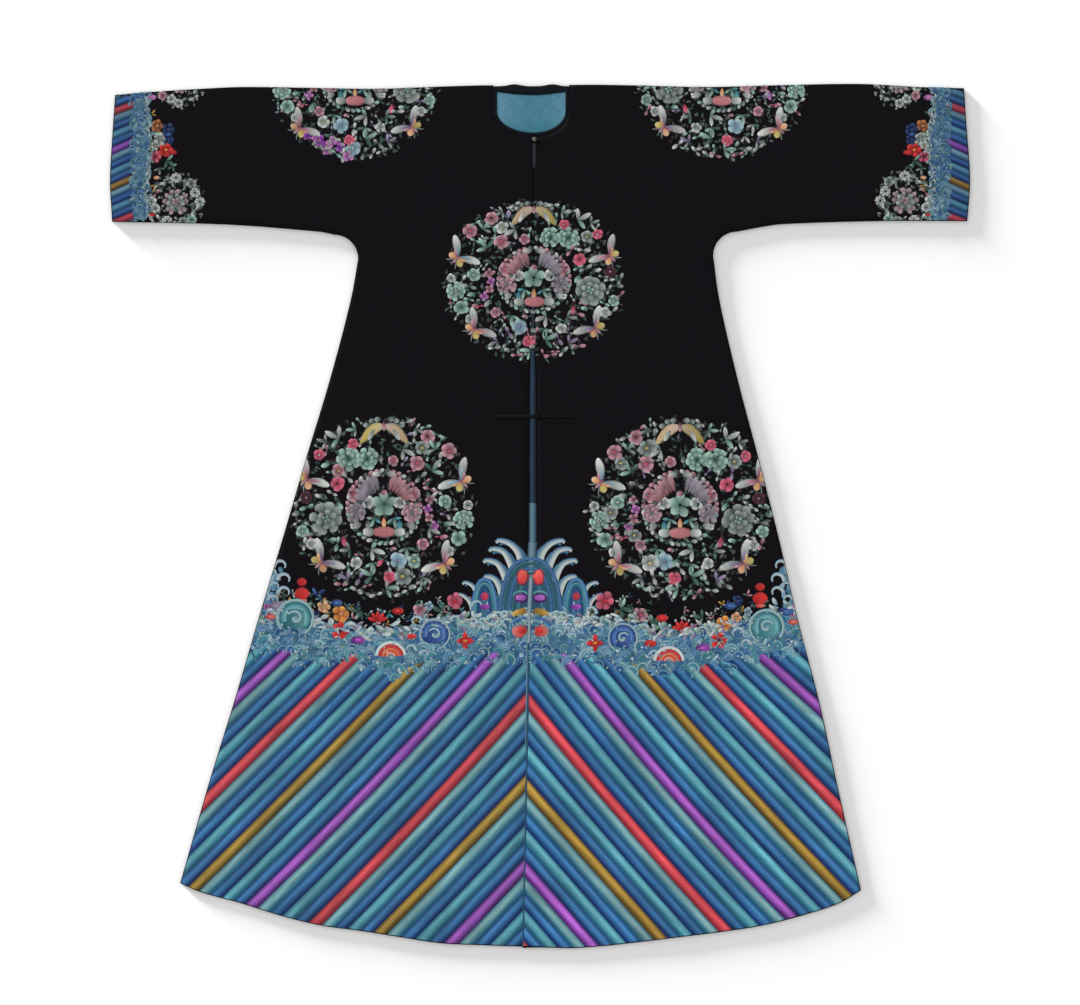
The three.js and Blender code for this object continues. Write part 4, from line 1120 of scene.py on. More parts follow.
def stripeBands(floss, guides, first, last, cycle, line, inside, reach):
    # Seven rows across a band. Each row starts and ends where its line enters and leaves the region
    far = np.arange(-12, reach, 0.5)
    rise = np.array(stripe["rise"])
    chance = floss.chance
    for k in range(first, last + 1):
        number = k / 5 + stripe["shift"] + np.array(stripe["across"])
        start, slope, bend = (np.interp(number, guides[:, 0], guides[:, j])[:, None] for j in (1, 2, 3))
        there = inside(*line(far, start + slope * far + bend * far ** 2))
        rows = there.any(axis=1)
        if rows.sum() < 3:
            continue
        there = there[rows]
        near = far[there.argmax(axis=1)][:, None]
        end = far[len(far) - 1 - there[:, ::-1].argmax(axis=1)][:, None]
        long = float((end - near).max())
        sunk = stripe["sunk"] / (long + 2 * stripe["sunk"])
        inner = np.linspace(0, 1, max(3, int(long / stripe["cell"])))[1:-1]
        share = np.concatenate([[0, sunk], inner, [1 - sunk, 1]])
        at = near + (end - near) * share
        x, down = line(at, start[rows] + slope[rows] * at + bend[rows] * at ** 2)
        silk = stripeSilks[cycle[(k // 5) % len(cycle)] if k % 5 == 0 else seaOrder[k % 5 - 1]]
        litAndShadedRows = litToShadedTones(*silk, stripeShadeShares)
        # The two outer rows are darker copies of the edge rows: painted shade where the band sinks into the cloth
        colours = np.concatenate([litAndShadedRows[:1] * 0.9, litAndShadedRows, litAndShadedRows[-1:] * 0.9])
        shade = chance.normal(1, stripe["uneven"], (len(number), len(share)))
        shade = chance.uniform(0.95, 1.05) * (shade + np.roll(shade, 1, axis=1)) / 2
        shade += 0.05 * np.sin(at / 23 + chance.uniform(0, 6))[:1]
        colours = (colours[:, None] * np.clip(shade, 0.75, 1.25)[..., None])[rows]
        height = np.repeat(rise[rows][:, None], len(share), 1)
        height[:, [0, -1]] = -0.1
        floss.grid(x, down, height, colours,
                   np.stack(np.broadcast_arrays(at * 1.4, number[rows][:, None] * 95), axis=-1))


def hemStripes(side, isBack=False):
    # Stripes from the middle outwards, below the waves, along guide lines that bend
    floss = Floss(60 + side, light=np.array(stripe["light"][side]))
    line = lambda far, down: (np.broadcast_to(stripe["centre"][side] + side * far, down.shape), down)
    seam = lambda down: (backSeamX if isBack else frontEdgeX)(side, down) + side * 0.4
    inside = lambda x, down: onCloth(x, down, isBack) & (down > seaLow(x) - 14) & ((x - seam(down)) * side >= 0)
    stripeBands(floss, hemGuides[side], -5, 36, ("violet", "red", "gold"), line, inside, 640)
    floss.build(nameOf("hemStripes", side, isBack), isBack)


# Silks of the sea: single tones of the small waves, light ones of the large waves, and root and tip of
# the stitches between them
scaleSilks = ((34, 92, 142), (58, 130, 152), (88, 134, 176), (44, 116, 124), (26, 68, 122), (112, 158, 176))
paleSilk = np.array([158, 190, 194.0])
hookSilks = [(190, 204, 206), (172, 194, 200), (98, 142, 170)]
seaTones = [
    ((70, 120, 156), (120, 164, 188)), ((58, 120, 134), (112, 166, 174)), ((44, 88, 144), (86, 130, 178)),
    ((118, 158, 172), (170, 196, 202)), ((40, 92, 118), (84, 138, 156)), ((96, 138, 176), (138, 170, 192)),
]


def seaScale(floss, x, down, radius, lift=0.3):
    # A small wave: two nested arcs and a pale bead
    chance = floss.chance
    rim = mix(np.array([92, 140, 160]), np.array([168, 194, 200]), chance.uniform(0, 1) ** 1.8)
    silk = np.array(floss.pick(scaleSilks))
    turn = chance.uniform(-50, 50)
    start, end = 180 + turn - 15, 360 + turn + 15
    floss.ribbon(arcPath(x, down, radius * 0.78, start, end, 9), radius * 0.6,
                 [mix(rim, silk, 0.4), rim, mix(rim, silk, 0.5), silk], lift=lift, high=0.25, ends=(0.6, 0.6))
    floss.ribbon(arcPath(x, down, radius * 0.45, start + 20, end - 10, 7), radius * 0.34, [silk * 1.25, silk * 0.8],
                 lift=lift + 0.05, high=0.2)
    if chance.uniform() < 0.75:
        floss.lobe(x - radius * 0.15, down, 0, radius * 0.32, radius * 0.32, (rim, (196, 212, 216)), peak=1.0,
                   full=0.5, lift=lift + 0.1, high=0.3)


def seaSpiral(floss, x, down, radius, tone, mirror=1):
    # A large curling wave, open at the bottom: rings from pale to deep round a pale curl
    deep, bright = (np.array(c, float) for c in palette[tone])
    turn, sweep = 90 + 62 * mirror, 256 * mirror
    floss.bead(x, down, radius * 1.8, radius * 1.8, (deep, bright), 0.62)
    floss.ribbon(arcPath(x, down, radius * 0.70, turn, turn + sweep, 26), radius * 0.5,
                 [bright * 1.12, bright, mix(bright, deep, 0.5), deep][::mirror], lift=0.72, high=0.3)
    floss.ribbon(arcPath(x, down, radius * 0.99, turn - 16 * mirror, turn + sweep + 16 * mirror, 26),
                 radius * 0.24, [paleSilk, paleSilk * 0.94, mix(paleSilk, bright, 0.6)][::mirror], lift=0.8, high=0.3,
                 ends=(0.8, 0.6))
    floss.ribbon(spiralPath(x, down, radius * 0.44, radius * 0.06, turn + 40 * mirror, turn + 400 * mirror),
                 radius * 0.2, [paleSilk * 0.86, paleSilk * 1.08], lift=0.9, high=0.3, ends=(0.6, 1.2))
    floss.bead(x, down, radius * 0.24, radius * 0.24, "ice", 0.95)


def foamHook(floss, x, down, size, turn, mirror=1):
    # A whitecap: a comma that curls over, white outside and blue inside
    alongX, alongY = (spiralPath(0, 0, size, 0.42 * size, 180, 395, 12) * [mirror, 1]).T
    c, s = polar(turn)
    path = np.stack([x + alongX * c - alongY * s, down + alongX * s + alongY * c], axis=1)
    floss.ribbon(path, size * 0.55, hookSilks[::mirror], lift=0.6, high=0.3, ends=(1.0, 0.35))


def gourd(floss, x, down, size):
    # Two red balls, the upper one smaller, on a coral foot
    for offset, share in ((-0.62, 0.62), (0.1, 0.95)):
        floss.bead(x, down + offset * size, size * share, size * share * 0.9, "red", 0.5)
    floss.bead(x, down + size * 0.55, size * 0.6, size * 0.3, "coral", 0.4)


def fan(floss, x, down, size):
    # Red leaves fanned upward, three white beads over them and a dusty foot
    for angle in (-160, -125, -90, -55, -20):
        floss.lobe(x, down + size * 0.4, angle, size * 0.95, size * 0.42, "red", peak=1.3, lift=0.5)
    for angle in (-125, -90, -55):
        c, s = polar(angle, size)
        floss.lobe(x + 1.05 * c - size * 0.1, down + size * 0.4 + 1.1 * s, 0, size * 0.22, size * 0.26, "foam",
                   peak=1.0, full=0.5, lift=0.6)
    floss.lobe(x - size * 0.3, down + size * 0.55, 0, size * 0.6, size * 0.3, "dusty", peak=1.0, lift=0.7)


def redArch(floss, x, down, size):
    # A rainbow of four arcs, white outside and red to coral within
    for radius, colours in ((1.12, [(224, 228, 226), (190, 204, 206)]), (0.86, [(232, 70, 60), (176, 22, 26)]),
                            (0.58, [(214, 60, 44), (232, 128, 76)]), (0.34, [(240, 176, 150), (200, 90, 70)])):
        floss.ribbon(arcPath(x, down, size * radius, 180, 360), size * 0.27, colours, lift=0.7, high=0.3)


def diamond(floss, x, down, size):
    # Four blunt red petals and an orange heart
    for angle in (0, 90, 180, 270):
        floss.lobe(x, down, angle, size, size * 0.85, "red", peak=0.8, lift=0.6)
    floss.lobe(x - size * 0.28, down, 0, size * 0.56, size * 0.5, "orange", peak=1.0, lift=0.85)


def flower(floss, x, down, size, tone, heart="yolk"):
    # Five petals and a round heart, in millimetres
    spot = Place(floss, x, down, 1.0, 1.0)
    petals(spot, 0, 0, 5, size * 0.1, size * 0.9, size * 0.85, tone, peak=1.6, full=0.6, lift=0.5)
    dot(spot, 0, 0, size * 0.45, heart, lift=0.8)


def oval(floss, x, down, size, tone):
    # A jewel: an oval with a paler one on it
    floss.bead(x, down, size * 2, size * 1.3, tone, 0.6)
    floss.bead(x, down, size * 0.9, size * 0.6, (palette[tone][1], palette[tone][1]), 0.8)


def sprig(floss, x, down, size, turn, tone="leaf", heart="mint"):
    # Three leaves, in millimetres
    leaves(Place(floss, x, down, 1.0, 1.0), 0, 0, size, turn, tone, heart)


def seaStitch(floss, x, down, turns, longs, wides, lifts, **more):
    # A short stitch in a sea tone, each measure a random one of its range
    chance = floss.chance
    floss.lobe(x, down, chance.uniform(*turns), chance.uniform(*longs), chance.uniform(*wides), floss.pick(seaTones),
               peak=1.0, full=0.5, lift=chance.uniform(*lifts), **more)


# Treasures and flowers in the waves: kind, x, down, size and what else that kind needs
treasures = [
    (gourd, -385.1, 821.9, 25.9), (oval, -328.5, 839.7, 9.7, "blue"), (flower, -349.5, 846.2, 11.3, "apricot"),
    (flower, -322, 857.5, 14.6, "orange", "apricot"), (fan, -262.1, 862.4, 17.8), (oval, -229.8, 852.7, 9.7, "red"),
    (flower, -323.6, 885, 16.2, "red", "maroon"), (oval, -294.5, 899.6, 12.9, "violet"),
    (redArch, -241.1, 927.1, 21), (oval, -208.7, 893.1, 9.7, "red"), (flower, -137.5, 836.5, 14.6, "rose", "red"),
    (diamond, -121.4, 901.2, 14.6), (sprig, -156.9, 854.3, 16.2, 200), (sprig, -113.3, 851.1, 14.6, 0),
    (sprig, -291.2, 854.3, 14.6, 190), (flower, -194.2, 851.1, 11.3, "dusty", "rose"),
    (flower, -179.6, 844.6, 8.1, "ice", "lilac"), (sprig, -234.6, 873.7, 12.9, 20),
    (sprig, -362.4, 828.4, 14.6, 320, "navy", "blue"), (oval, -427.2, 844.6, 14.6, "lilac"),
    (oval, -435.2, 862.4, 9.7, "coral"), (sprig, -440.1, 886.7, 14.6, 180, "mint", "leaf"), (gourd, 356, 830, 25.9),
    (oval, 307.4, 844.6, 9.7, "blue"), (flower, 320.4, 836.5, 9.7, "navy", "blue"),
    (flower, 297.7, 873.7, 14.6, "orange", "apricot"), (flower, 317.1, 864, 9.7, "apricot"),
    (fan, 229.8, 877, 17.8), (oval, 197.4, 864, 9.7, "red"), (flower, 289.6, 899.6, 16.2, "red", "maroon"),
    (oval, 263.7, 912.6, 12.9, "violet"), (redArch, 208.7, 935.2, 21), (oval, 178, 904.5, 11.3, "red"),
    (flower, 105.2, 836.5, 16.2, "rose", "red"), (diamond, 89, 904.5, 14.6), (sprig, 129.4, 847.8, 17.8, 10),
    (sprig, 90.6, 854.3, 14.6, 200), (sprig, 263.7, 864, 14.6, 190), (flower, 163.4, 859.2, 12.9, "dusty", "rose"),
    (sprig, 181.2, 870.5, 12.9, 330), (oval, 399.6, 854.3, 14.6, "blue"), (oval, 409.4, 870.5, 9.7, "coral"),
    (sprig, 415.8, 886.7, 14.6, 0, "mint", "leaf"), (flower, 336.5, 854.3, 8.1, "ice", "lilac"),
    (flower, 150.5, 864, 9.7, "mint", "grey"),
]
# Spirals: x, down, radius, silk, mirrored or not. Whitecaps: x, down, size, degrees turned, mirrored or not
spirals = [
    (-395.6, 864, 29.1, "teal", 1), (-169.9, 889.9, 24.3, "blue", 1), (134.3, 896.4, 23.5, "blue", -1),
    (366.5, 878.6, 27.5, "teal", -1),
]
hooks = [
    (-354.3, 880.2, 12.9, 0, 1), (-304.2, 880.2, 11.3, 10, 1), (-270.2, 896.4, 11.3, -10, -1),
    (-210.3, 915.8, 11.3, 20, -1), (-200.6, 870.5, 11.3, -10, -1), (-135.9, 870.5, 11.3, 10, 1),
    (-97.1, 880.2, 12.9, 0, 1), (-74.4, 870.5, 12.9, 0, 1), (-59.9, 880.2, 9.7, -10, 1), (32.4, 873.7, 12.9, 0, -1),
    (45.3, 886.7, 11.3, 10, -1), (61.5, 877, 11.3, 0, -1), (103.6, 873.7, 11.3, 0, -1), (169.9, 883.4, 11.3, 10, 1),
    (242.7, 893.1, 12.9, -10, 1), (318.7, 889.9, 12.9, 0, -1), (331.7, 907.7, 11.3, 10, -1),
    (262.1, 886.7, 11.3, 0, -1), (-100.3, 844.6, 11.3, -20, 1), (80.9, 854.3, 11.3, 20, -1),
    (80.9, 919, 9.7, 0, -1), (-356, 907.7, 9.7, 10, 1), (186.1, 923.9, 9.7, -10, 1), (-186.1, 923.9, 9.7, 0, 1),
]
# The wave band: its middle and half width, two blues of the ground, and how many stitches, small waves,
# specks, crests and sprigs a side has. Sprigs start below a circle round the low roundel
sea = {"middle": -19, "half": 460, "light": 0.88, "ground": ((40, 90, 130), (84, 134, 158)), "stitches": 260,
       "rows": 5, "scales": 28, "spacing": 16.6, "specks": 200, "crests": 150, "sprigs": {-1: 110, 1: 50},
       "reach": 455, "leafFrom": 62, "leafTo": 415, "clearRadius": 150, "clearDown": 698,
       "crestTones": ("foam", "ice", "pale", "foam", "lilac", "mint"), "leafHearts": ("moss", "leaf", "grey"),
       "leafTones": ("leaf", "mint", "moss", "navy", "pale", "gold", "teal", "dusty")}


def seaGround(floss, side):
    # A mottled ground, longer stitches on it and rows of small waves
    chance = floss.chance
    x = np.linspace(*sorted((side * 470, stripe["centre"][side])), 90)
    down = mix(seaTop(x) + 4, seaLow(x) - 2, np.linspace(0, 1, 7)[:, None])
    noise = chance.uniform(0, 1, (*down.shape, 1))
    low, high = (np.array(c) for c in sea["ground"])
    floss.fill(np.broadcast_to(x, down.shape), down, mix(low, high, noise), 0.2)
    for _ in range(sea["stitches"]):
        at = side * chance.uniform(0, sea["half"]) + sea["middle"]
        seaStitch(floss, at, mix(seaTop(at) + 6, seaLow(at) - 2, chance.uniform()), (0, 360), (9, 21), (6, 12),
                  (0.1, 0.3), high=0.25)
    for row in range(sea["rows"]):
        for k in range(sea["scales"]):
            at = side * (k + 0.5 * (row % 2) + chance.uniform(-0.25, 0.25)) * sea["spacing"] + sea["middle"]
            if abs(at) < 462:
                seaScale(floss, at, mix(seaLow(at) - 4, seaTop(at) + 10, row / 4) + chance.uniform(-7, 7),
                         chance.uniform(7, 15), 0.3 + 0.25 * chance.uniform())


def waveBand(side, isBack=False):
    # The sea: its ground, then specks, crests, sprigs between the waves and the roundel, spirals,
    # whitecaps and treasures
    floss = Floss(80 + side, light=sea["light"])
    chance = floss.chance
    seaGround(floss, side)
    for _ in range(sea["specks"]):
        at = side * chance.uniform(0, sea["reach"]) + sea["middle"]
        size = chance.uniform(2.2, 4.8)
        floss.lobe(at, mix(seaTop(at) + 4, seaLow(at), chance.uniform() ** 1.3), chance.uniform(0, 360), size * 1.8,
                   size, floss.pick(("foam", "ice", "mint", "ice")), lift=0.6)
    for _ in range(sea["crests"]):
        at = side * chance.uniform(0, sea["reach"]) + sea["middle"]
        floss.lobe(at, seaTop(at) + chance.uniform(-4, 12), chance.uniform(-40, 40) + 180 * (side > 0),
                   chance.uniform(9, 19), chance.uniform(5, 9), floss.pick(sea["crestTones"]),
                   bend=chance.uniform(-0.3, 0.3), lift=chance.uniform(0.5, 0.62))
    discX = roundels["roundelLowLeft" if side < 0 else "roundelLowRight"][0]
    for _ in range(sea["sprigs"][side]):
        at = side * chance.uniform(sea["leafFrom"], sea["leafTo"]) + sea["middle"]
        top = seaTop(at) + 2
        rim = math.sqrt(max(sea["clearRadius"] ** 2 - (at - discX) ** 2, 0))
        clear = max(sea["clearDown"] + rim, top - 40)
        if clear < top:
            size = chance.uniform(5, 9)
            sprig(floss, at, chance.uniform(clear, top), size, chance.uniform(0, 360), floss.pick(sea["leafTones"]),
                  floss.pick(sea["leafHearts"]))
    for kind, x, *rest in [(seaSpiral, *row) for row in spirals] + [(foamHook, *row) for row in hooks] + treasures:
        if (x - sea["middle"]) * side > 0:
            kind(floss, x, *rest)
    sideMountain(floss, side)
    floss.build(nameOf("waves", side, isBack), isBack)


# Curls of the mountain's left side, from root to tip, each as (x, down); the right side mirrors them.
# The number after the points is the width
crestCurls = [
    ([(-29.1, 776.6), (-34, 758.8), (-46.9, 744.3), (-66.3, 737.8), (-72, 742.7)], 15),
    ([(-42.1, 788), (-50.2, 768.6), (-59.9, 755.6), (-77.7, 751.6), (-83.3, 756.4)], 15),
    ([(-51.8, 809), (-59.9, 788), (-69.6, 775), (-87.4, 770.2), (-92.2, 775)], 15),
    ([(-58.2, 834.9), (-64.7, 813.9), (-72.8, 800.9), (-86.6, 796.1), (-91.4, 800.9)], 15),
    ([(-98.7, 843), (-101.9, 825.2), (-108.4, 812.2), (-121.4, 805.8), (-126.2, 809.8)], 11),
    ([(-105.2, 864), (-110, 844.6), (-116.5, 833.3), (-129.4, 825.2), (-133.5, 829.2)], 11),
    ([(-79.3, 854.3), (-84.1, 839.7), (-82.5, 826.8), (-74.4, 818.7)], 11),
]
crestMiddle = -15.5
# Whitecaps of one side of the mountain: x away from its middle, down, size
mountainHooks = ((34, 862, 8), (44, 860, 9), (54, 862, 10), (66, 866, 9), (78, 870, 8), (92, 872, 8), (40, 872, 9),
                 (52, 876, 10), (64, 880, 9), (48, 890, 8), (80, 884, 8), (70, 894, 7))
# Flames, jewels and the gold bar of one side: x, down, angle, length, width, silk, bend, peak, lift
mountainLobes = [
    (15.2, 814, -100, 31, 32, ((96, 52, 78), (150, 56, 68)), 0, 1.1, 0.9),
    (15.2, 811, -100, 26, 26, ((208, 50, 56), (232, 104, 88)), 0, 1.1, 1.05),
    (2.2, 832, 0, 26, 23, ((60, 30, 90), (92, 44, 120)), 0, 1.0, 0.9),
    (4.2, 831, 0, 22, 16, ((138, 66, 158), (196, 120, 200)), 0, 1.0, 1.0),
    (4.2, 852, 4, 27, 14, "gold", 0.16, 0.9, 1.0), (4.2, 885, 0, 26, 26, "coral", 0, 1.0, 0.7),
    (8.2, 885, 0, 14, 13, "red", 0, 1.0, 0.95),
]
# Arches: middle, half width, foot, top, lift. Then the rings of the main peak and of the side peaks,
# each an outer and an inner silk
arches = ((0, 49.0, 861.0, 766.0, 0.62), (-56, 26, 872, 828, 0.3), (56, 26, 872, 828, 0.3),
          (-74, 21, 872, 801, 0.32), (74, 21, 872, 801, 0.32))
mainRings = (((74, 118, 162), (44, 88, 138)), ((36, 88, 106), (60, 122, 136)), ((62, 112, 156), (40, 84, 134)),
             ((30, 80, 100), (62, 122, 134)), ((66, 122, 140), (44, 96, 124)))
sideRings = (((90, 140, 176), (40, 96, 140)), ((34, 92, 116), (74, 140, 150)), ((40, 84, 140), (20, 50, 104)))


def archPath(middle, half, base, top, count=14):
    # Over the top from left to right, with |x|^0.85 and the height's 0.9th power to make the shoulders
    # fuller than an ellipse's
    angle = np.linspace(math.pi, 0, count)
    c, s = np.cos(angle), np.sin(angle)
    return np.stack([middle + half * np.sign(c) * np.abs(c) ** 0.85, base - (base - top) * s ** 0.9], axis=1)


def sideMountain(floss, side):
    # Half a peak at the side seam, with thick curls turned to the middle
    chance = floss.chance
    middle = -418.0 if side < 0 else 388.0
    top, high = 772, 96
    for _ in range(46):
        down = chance.uniform(top, top + high)
        inner = middle - side * (2 - 14 * (down - top) / high)
        seaStitch(floss, inner + side * chance.uniform(0, 34), down, (50, 130), (10, 20), (6, 10), (0.1, 0.3))
    for offset, down, size in ((0, 781, 13), (6, 803, 14), (6, 824, 13), (-14, 792, 10), (-10, 814, 10),
                               (-12, 836, 11), (-26, 828, 10)):
        foamHook(floss, middle - side * offset, down, size, 10 * side, -side)
    flower(floss, middle + side * 24, 846, 6, "orchid", "violet")
    flower(floss, middle + side * 20, 858, 5, "rose", "maroon")


def curl(floss, points, wide, mirror=1):
    # A pale crest that tapers to its tip, with a blue line under it
    path = curvePath(points, 12)
    if mirror < 0:
        path[:, 0] = 2 * crestMiddle - path[:, 0]
    pale = [(216, 224, 220), (204, 214, 212), (138, 168, 184), (62, 108, 146)]
    under = path + [mirror * wide * 0.42, wide * 0.3]
    floss.ribbon(under, wide * 0.8, [(50, 104, 140), (74, 126, 156)], lift=0.16, high=0.24, ends=(1.1, 0.4))
    floss.ribbon(path, wide, pale[::-mirror], lift=0.3, high=0.28, ends=(0.95, 0.42))


def mountain(isBack=False):
    # Nested arches with curls on both flanks, flames, ovals and a gold bar, two smaller peaks beside
    floss = Floss(90, light=0.84)
    share = np.linspace(0, 1, 6)[:, None]
    for middle, half, foot, top, lift in arches:
        x, down = archPath(crestMiddle + middle, half, foot, top, 24).T
        floss.fill(np.broadcast_to(x, (6, 24)), mix(down, foot, share), (38, 84, 118), lift)
    for k, (outer, inner) in enumerate(mainRings):
        floss.ribbon(archPath(crestMiddle, 49 - 7.4 * k, 861, 768 + 8 * k, 24), 7.4, [inner, outer, outer, inner],
                     lift=0.66, high=0.3)
    for side in (-1, 1):
        for k in range(3):
            floss.ribbon(archPath(crestMiddle + side * 56, 25 - 7 * k, 872, 829 + 9 * k), 6.5,
                         [(76, 130, 164), (40, 92, 128)], lift=0.34)
        for points, wide in crestCurls:
            curl(floss, points, wide, side)
    floss.light = 0.93
    for side in (-1, 1):
        half = Place(floss, crestMiddle, 0, 1.0, 1.0, side)
        for x, down, angle, long, wide, tone, bend, peak, lift in mountainLobes:
            half.lobe(x, down, angle, long, wide, tone, bend=bend, peak=peak, full=0.5, lift=lift)
        floss.ribbon(arcPath(crestMiddle + side * 15.2, 832, 14, 190, 350, 10, 0.85), 4,
                     [(110, 170, 170), (40, 100, 120)], lift=0.95)
        wave = [(crestMiddle + side * x, down) for x, down in ((2, 862), (19.2, 866), (35.2, 878))]
        floss.ribbon(curvePath(wave, 8), 6, [(70, 116, 170), (30, 84, 128)], lift=0.7)
        centre = crestMiddle + side * 74
        for k, (outer, inner) in enumerate(sideRings):
            floss.ribbon(archPath(centre, 20 - 5.5 * k, 868, 801 + 8 * k), 6, [outer, inner], lift=0.4)
        floss.bead(centre, 829, 14, 17, ((150, 34, 74), (206, 72, 84)), 0.8)
        floss.bead(centre, 846, 18, 12, "violet", 0.8)
        for x, down, size in mountainHooks:
            foamHook(floss, crestMiddle + side * x, down, size, 0, side)
        flower(floss, crestMiddle + side * 58, 866, 5, "mint", "grey")
    floss.build("mountain" + ("Back" if isBack else ""), isBack)


# The cuffs: number of the guide line, down at the cuff's end, slope and bend inward
cuffGuides = np.array([(-5, -256, -0.42, 0), (-4, -195, -0.42, 0), (-3, -133, -0.42, 0), (-2, -72, -0.4, 0),
                       (-1, -10.5, -0.38, 0), (0, 50, -0.36, 0), (1, 113.5, -0.46, 0), (2, 172, -0.45, 0),
                       (3, 230.5, -0.4, 0), (4, 290, -0.4, 0)])
# Flowers of the left cuff's front: kind, x, down, size and what else that kind needs
cuffFlowers = [
    (flower, -619, 68, 13, ((104, 58, 30), (196, 122, 72)), "apricot"), (flower, -601, 74, 13, "navy", "blue"),
    (flower, -601, 90, 12, "navy", "blue"), (oval, -601, 82, 6, "blue"), (oval, -620, 82, 8, "mint"),
    (flower, -615, 89, 13, "pale", "mint"), (flower, -622, 100, 9, "pale", "yolk"),
    (sprig, -608, 96, 10, 20, "mint", "leaf"), (flower, -605, 107, 15, "red", "orange"),
    (oval, -594, 111, 8, "red"), (flower, -622, 118, 12, "rose", "maroon"), (sprig, -604, 124, 16, 30),
    (sprig, -616, 136, 11, 80, "grey", "leaf"), (sprig, -596, 132, 11, 60), (oval, -620, 152, 6, "apricot"),
    (sprig, -622, 164, 10, 100, "gold", "leaf"), (oval, -628, 22, 9, "orchid"),
    (sprig, -628, 50, 9, -60, "gold", "leaf"), (oval, -628, 212, 6, "red"),
]
# x of the end, the stripes' inner end and the sea band's edge, how many small waves and specks it has
cuffs = {"end": 699.0, "stripes": 652, "sea": 633, "scales": 44, "specks": 190, "tall": (-219, 221),
         "ground": ((40, 88, 146), (98, 140, 178)), "speckTones": ("foam", "ice", "mint", "foam", "ice"),
         "lights": ((0.72, 0.74, 0.84), 0.78, 0.84)}


def cuffSea(floss, side):
    # A mottled ground whose inner edge sways, rows of small waves, whitecaps and specks along its edge
    chance = floss.chance
    down = np.linspace(*cuffs["tall"], 80)[:, None]
    weave = 5 * np.sin(down / 21) + 3 * np.sin(down / 8.3 + 1)
    x = np.concatenate([0 * down + 664, 0 * down + 656, 0 * down + 646, 640 + weave, 634 + weave], axis=1)
    noise = chance.uniform(0, 1, (*x.shape, 1))
    low, high = (np.array(c) for c in cuffs["ground"])
    floss.fill(side * x, np.broadcast_to(down, x.shape), mix(low, high, noise), 0.45)
    for k, at in enumerate(np.linspace(-214, 216, cuffs["scales"])):
        for row in range(3):
            seaScale(floss, side * (657 - 10.5 * row + chance.uniform(-2, 2)), at + 5 * (row % 2),
                     chance.uniform(6.5, 9), lift=0.55)
        if k % 4 == 0:
            foamHook(floss, side * (634 + 4 * math.sin(at / 21)), at + chance.uniform(-2, 2),
                     chance.uniform(5, 8.5), side * chance.uniform(-120, -60), side)
    for at in np.linspace(-216, 218, cuffs["specks"]):
        edge = cuffs["sea"] + 3.5 * math.sin(at / 21) + chance.uniform(-3.5, 3.5)
        floss.lobe(side * edge, at, chance.uniform(50, 130), chance.uniform(5, 10), chance.uniform(3, 5),
                   floss.pick(cuffs["speckTones"]), lift=0.6)
        floss.lobe(side * (edge + chance.uniform(4, 26)), at, chance.uniform(0, 180), chance.uniform(6, 12),
                   chance.uniform(4, 7), floss.pick(seaTones), peak=1.0, full=0.5, lift=0.62)


def cuff(side):
    # Stripes at the end, a sea band inside them with whitecaps, then flowers. All run over the fold
    stripeLight, seaLight, flowerLight = cuffs["lights"]
    floss = Floss(100 + side, light=np.array(stripeLight))
    line = lambda far, down: (np.broadcast_to(side * (cuffs["end"] - far), down.shape), down)
    inside = lambda x, down: onCloth(x, down) & (np.abs(x) > cuffs["stripes"])
    stripeBands(floss, cuffGuides, -24, 20, ("red", "violet", "gold"), line, inside, 60)
    floss.light = seaLight
    cuffSea(floss, side)
    floss.light = flowerLight
    for kind, x, at, size, *more in cuffFlowers:
        kind(floss, -side * x, at, size * 0.86, *more)
        if kind is not sprig:
            kind(floss, -side * x, -at - 12, size * 0.86, *more)
    floss.build(nameOf("cuff", side))


def centreEdges():
    # A stitched line down both front edges past the end of the blue strip
    look = {"lean": (0.85, 0.1, 0, 0.2, 0.5, 1), "upper": ((84, 116, 130), (28, 54, 70)),
            "lower": ((138, 154, 162), (54, 82, 100)),
            "parts": ((678, 745, 0.92, 0), (741, 800, 1.0, 0.3), (797, 858, 1.0, 0.8), (854, 905, 1.3, 1))}
    floss = Floss(120)
    # Rows across each part run from its light tone to its deep one: a painted highlight near its left side, painted
    # shade towards the right and at its left rim
    upper, lower = (litToShadedTones(*look[key], look["lean"]) for key in ("upper", "lower"))
    along = lambda x, down: np.stack([x, down], axis=1)
    for start, end, wide, share in look["parts"]:
        down = np.linspace(start, end, 26)
        x = leftEdgeX(down) + 0.3 + stripWidth(down) / 2
        size = float(stripWidth((start + end) / 2)) + 1.6
        floss.ribbon(along(x, down), size * wide, mix(upper, lower, share), lift=0.3 + 0.7 * share)
    down = np.linspace(900, 1080, 40)
    floss.ribbon(along(leftEdgeX(down) - 2.4, down), 3.4, [(96, 128, 148), (52, 88, 110)], lift=0.4, ends=(1.0, 0.5))
    down = np.linspace(905, 1396, 90)
    for side in (-1, 1):
        floss.ribbon(along(frontEdgeX(side, down) + side * 0.35, down), 1.5, [(42, 84, 112), (30, 66, 96)], lift=0.3)
    floss.build("centreEdges", free=True)


for side in (-1, 1):
    for isBack in (False, True):
        hemStripes(side, isBack)
        waveBand(side, isBack)
    cuff(side)
centreEdges()
mountain()
mountain(isBack=True)


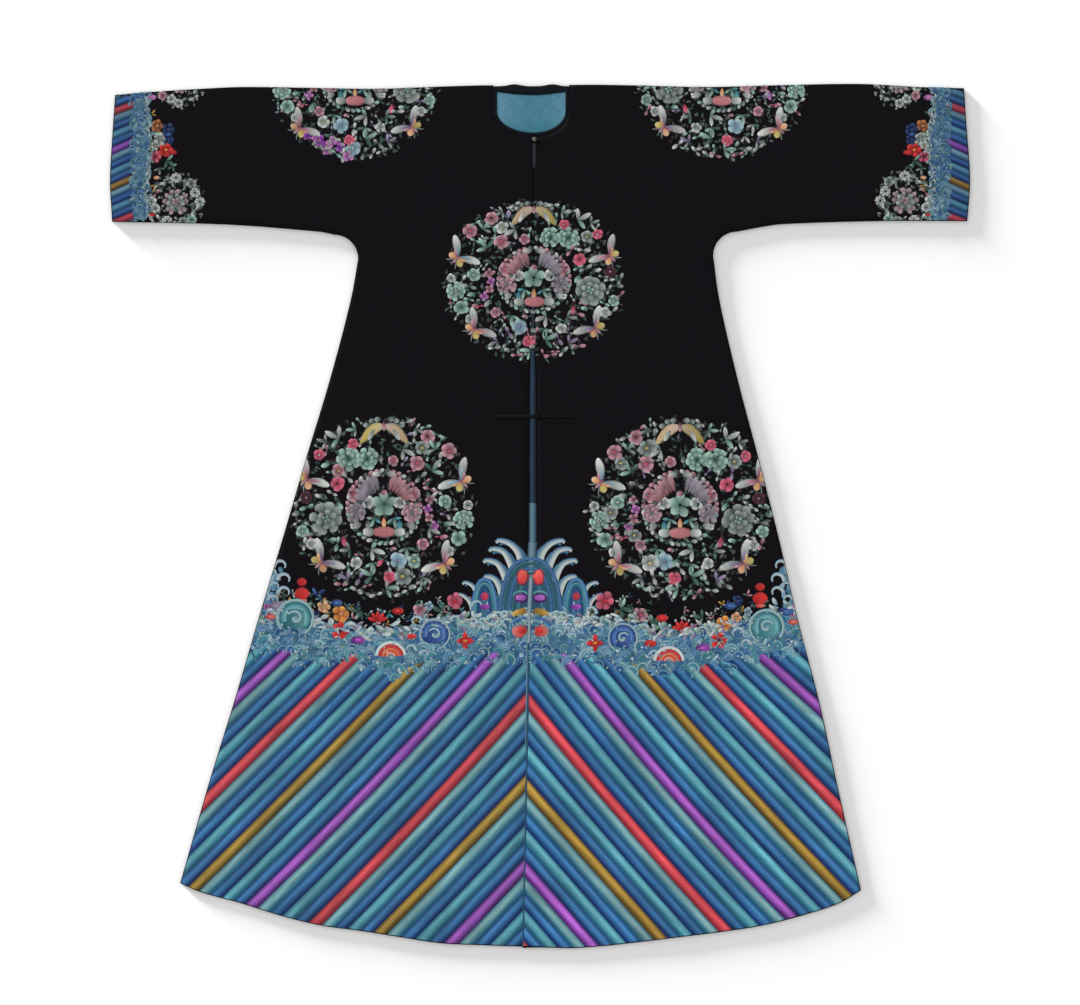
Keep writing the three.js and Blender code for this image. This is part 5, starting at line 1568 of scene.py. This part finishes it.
# Camera straight above, as a long lens. The picture is 1080 by 1005 with 1.618 mm a pixel
camera = {"pixels": 1080, "mmPerPixel": 1.618, "height": 9.0, "sensor": 36.0, "centreY": 0.0218, "clip": 50}
lens = bpy.data.cameras.new("viewCamera")
lens.sensor_width = camera["sensor"]
lens.lens = camera["sensor"] * camera["height"] / (camera["pixels"] * camera["mmPerPixel"] * 0.001)
lens.clip_end = camera["clip"]
viewer = bpy.data.objects.new("viewCamera", lens)
viewer.location = (0, camera["centreY"], camera["height"])
bpy.context.collection.objects.link(viewer)
bpy.context.scene.camera = viewer

floorLook = {"half": 6.0, "colour": (0.94, 0.94, 0.94, 1), "roughness": 0.9, "specular": 0.1}
floorMesh = bpy.data.meshes.new("floor")
corners = [(x * floorLook["half"], y * floorLook["half"], 0) for x, y in ((-1, -1), (1, -1), (1, 1), (-1, 1))]
floorMesh.from_pydata(corners, [], [(0, 1, 2, 3)])
floor = bpy.data.objects.new("floor", floorMesh)
bpy.context.collection.objects.link(floor)
floorMesh.materials.append(newMaterial("paleFloor", {
    "Base Color": floorLook["colour"], "Roughness": floorLook["roughness"],
    "Specular IOR Level": floorLook["specular"]})[0])

# A white room, a soft light over the upper left on the cloth, and a low one that only the floor takes,
# which casts the soft shadow to the lower right: strength, degrees above the horizon, degrees across
light = {"world": 0.74, "key": (2.1, 34.0, 30.0), "low": (17.5, 3.6, 9.0), "turn": 226.0}
world = bpy.data.worlds.new("studio")
bpy.context.scene.world = world
world.use_nodes = True
world.node_tree.nodes["Background"].inputs["Color"].default_value = (1, 1, 1, 1)
world.node_tree.nodes["Background"].inputs["Strength"].default_value = light["world"]
clothing = [thing for thing in bpy.data.objects if thing.type == "MESH" and thing != floor]
for key, takers in (("key", clothing), ("low", [floor])):
    energy, rise, spread = light[key]
    lamp = bpy.data.lights.new(key + "Light", "SUN")
    lamp.energy = energy
    lamp.angle = math.radians(spread)
    shining = bpy.data.objects.new(key + "Light", lamp)
    shining.location = (-3, 2.5, 1.5)
    shining.rotation_euler = (math.radians(90 - rise), 0, math.radians(light["turn"]))
    bpy.context.collection.objects.link(shining)
    lit = bpy.data.collections.new(key + "LightTakers")
    for thing in takers:
        lit.objects.link(thing)
    shining.light_linking.receiver_collection = lit
bpy.context.scene.view_settings.view_transform = "Standard"
print("stage", len(clothing), "pieces lit")
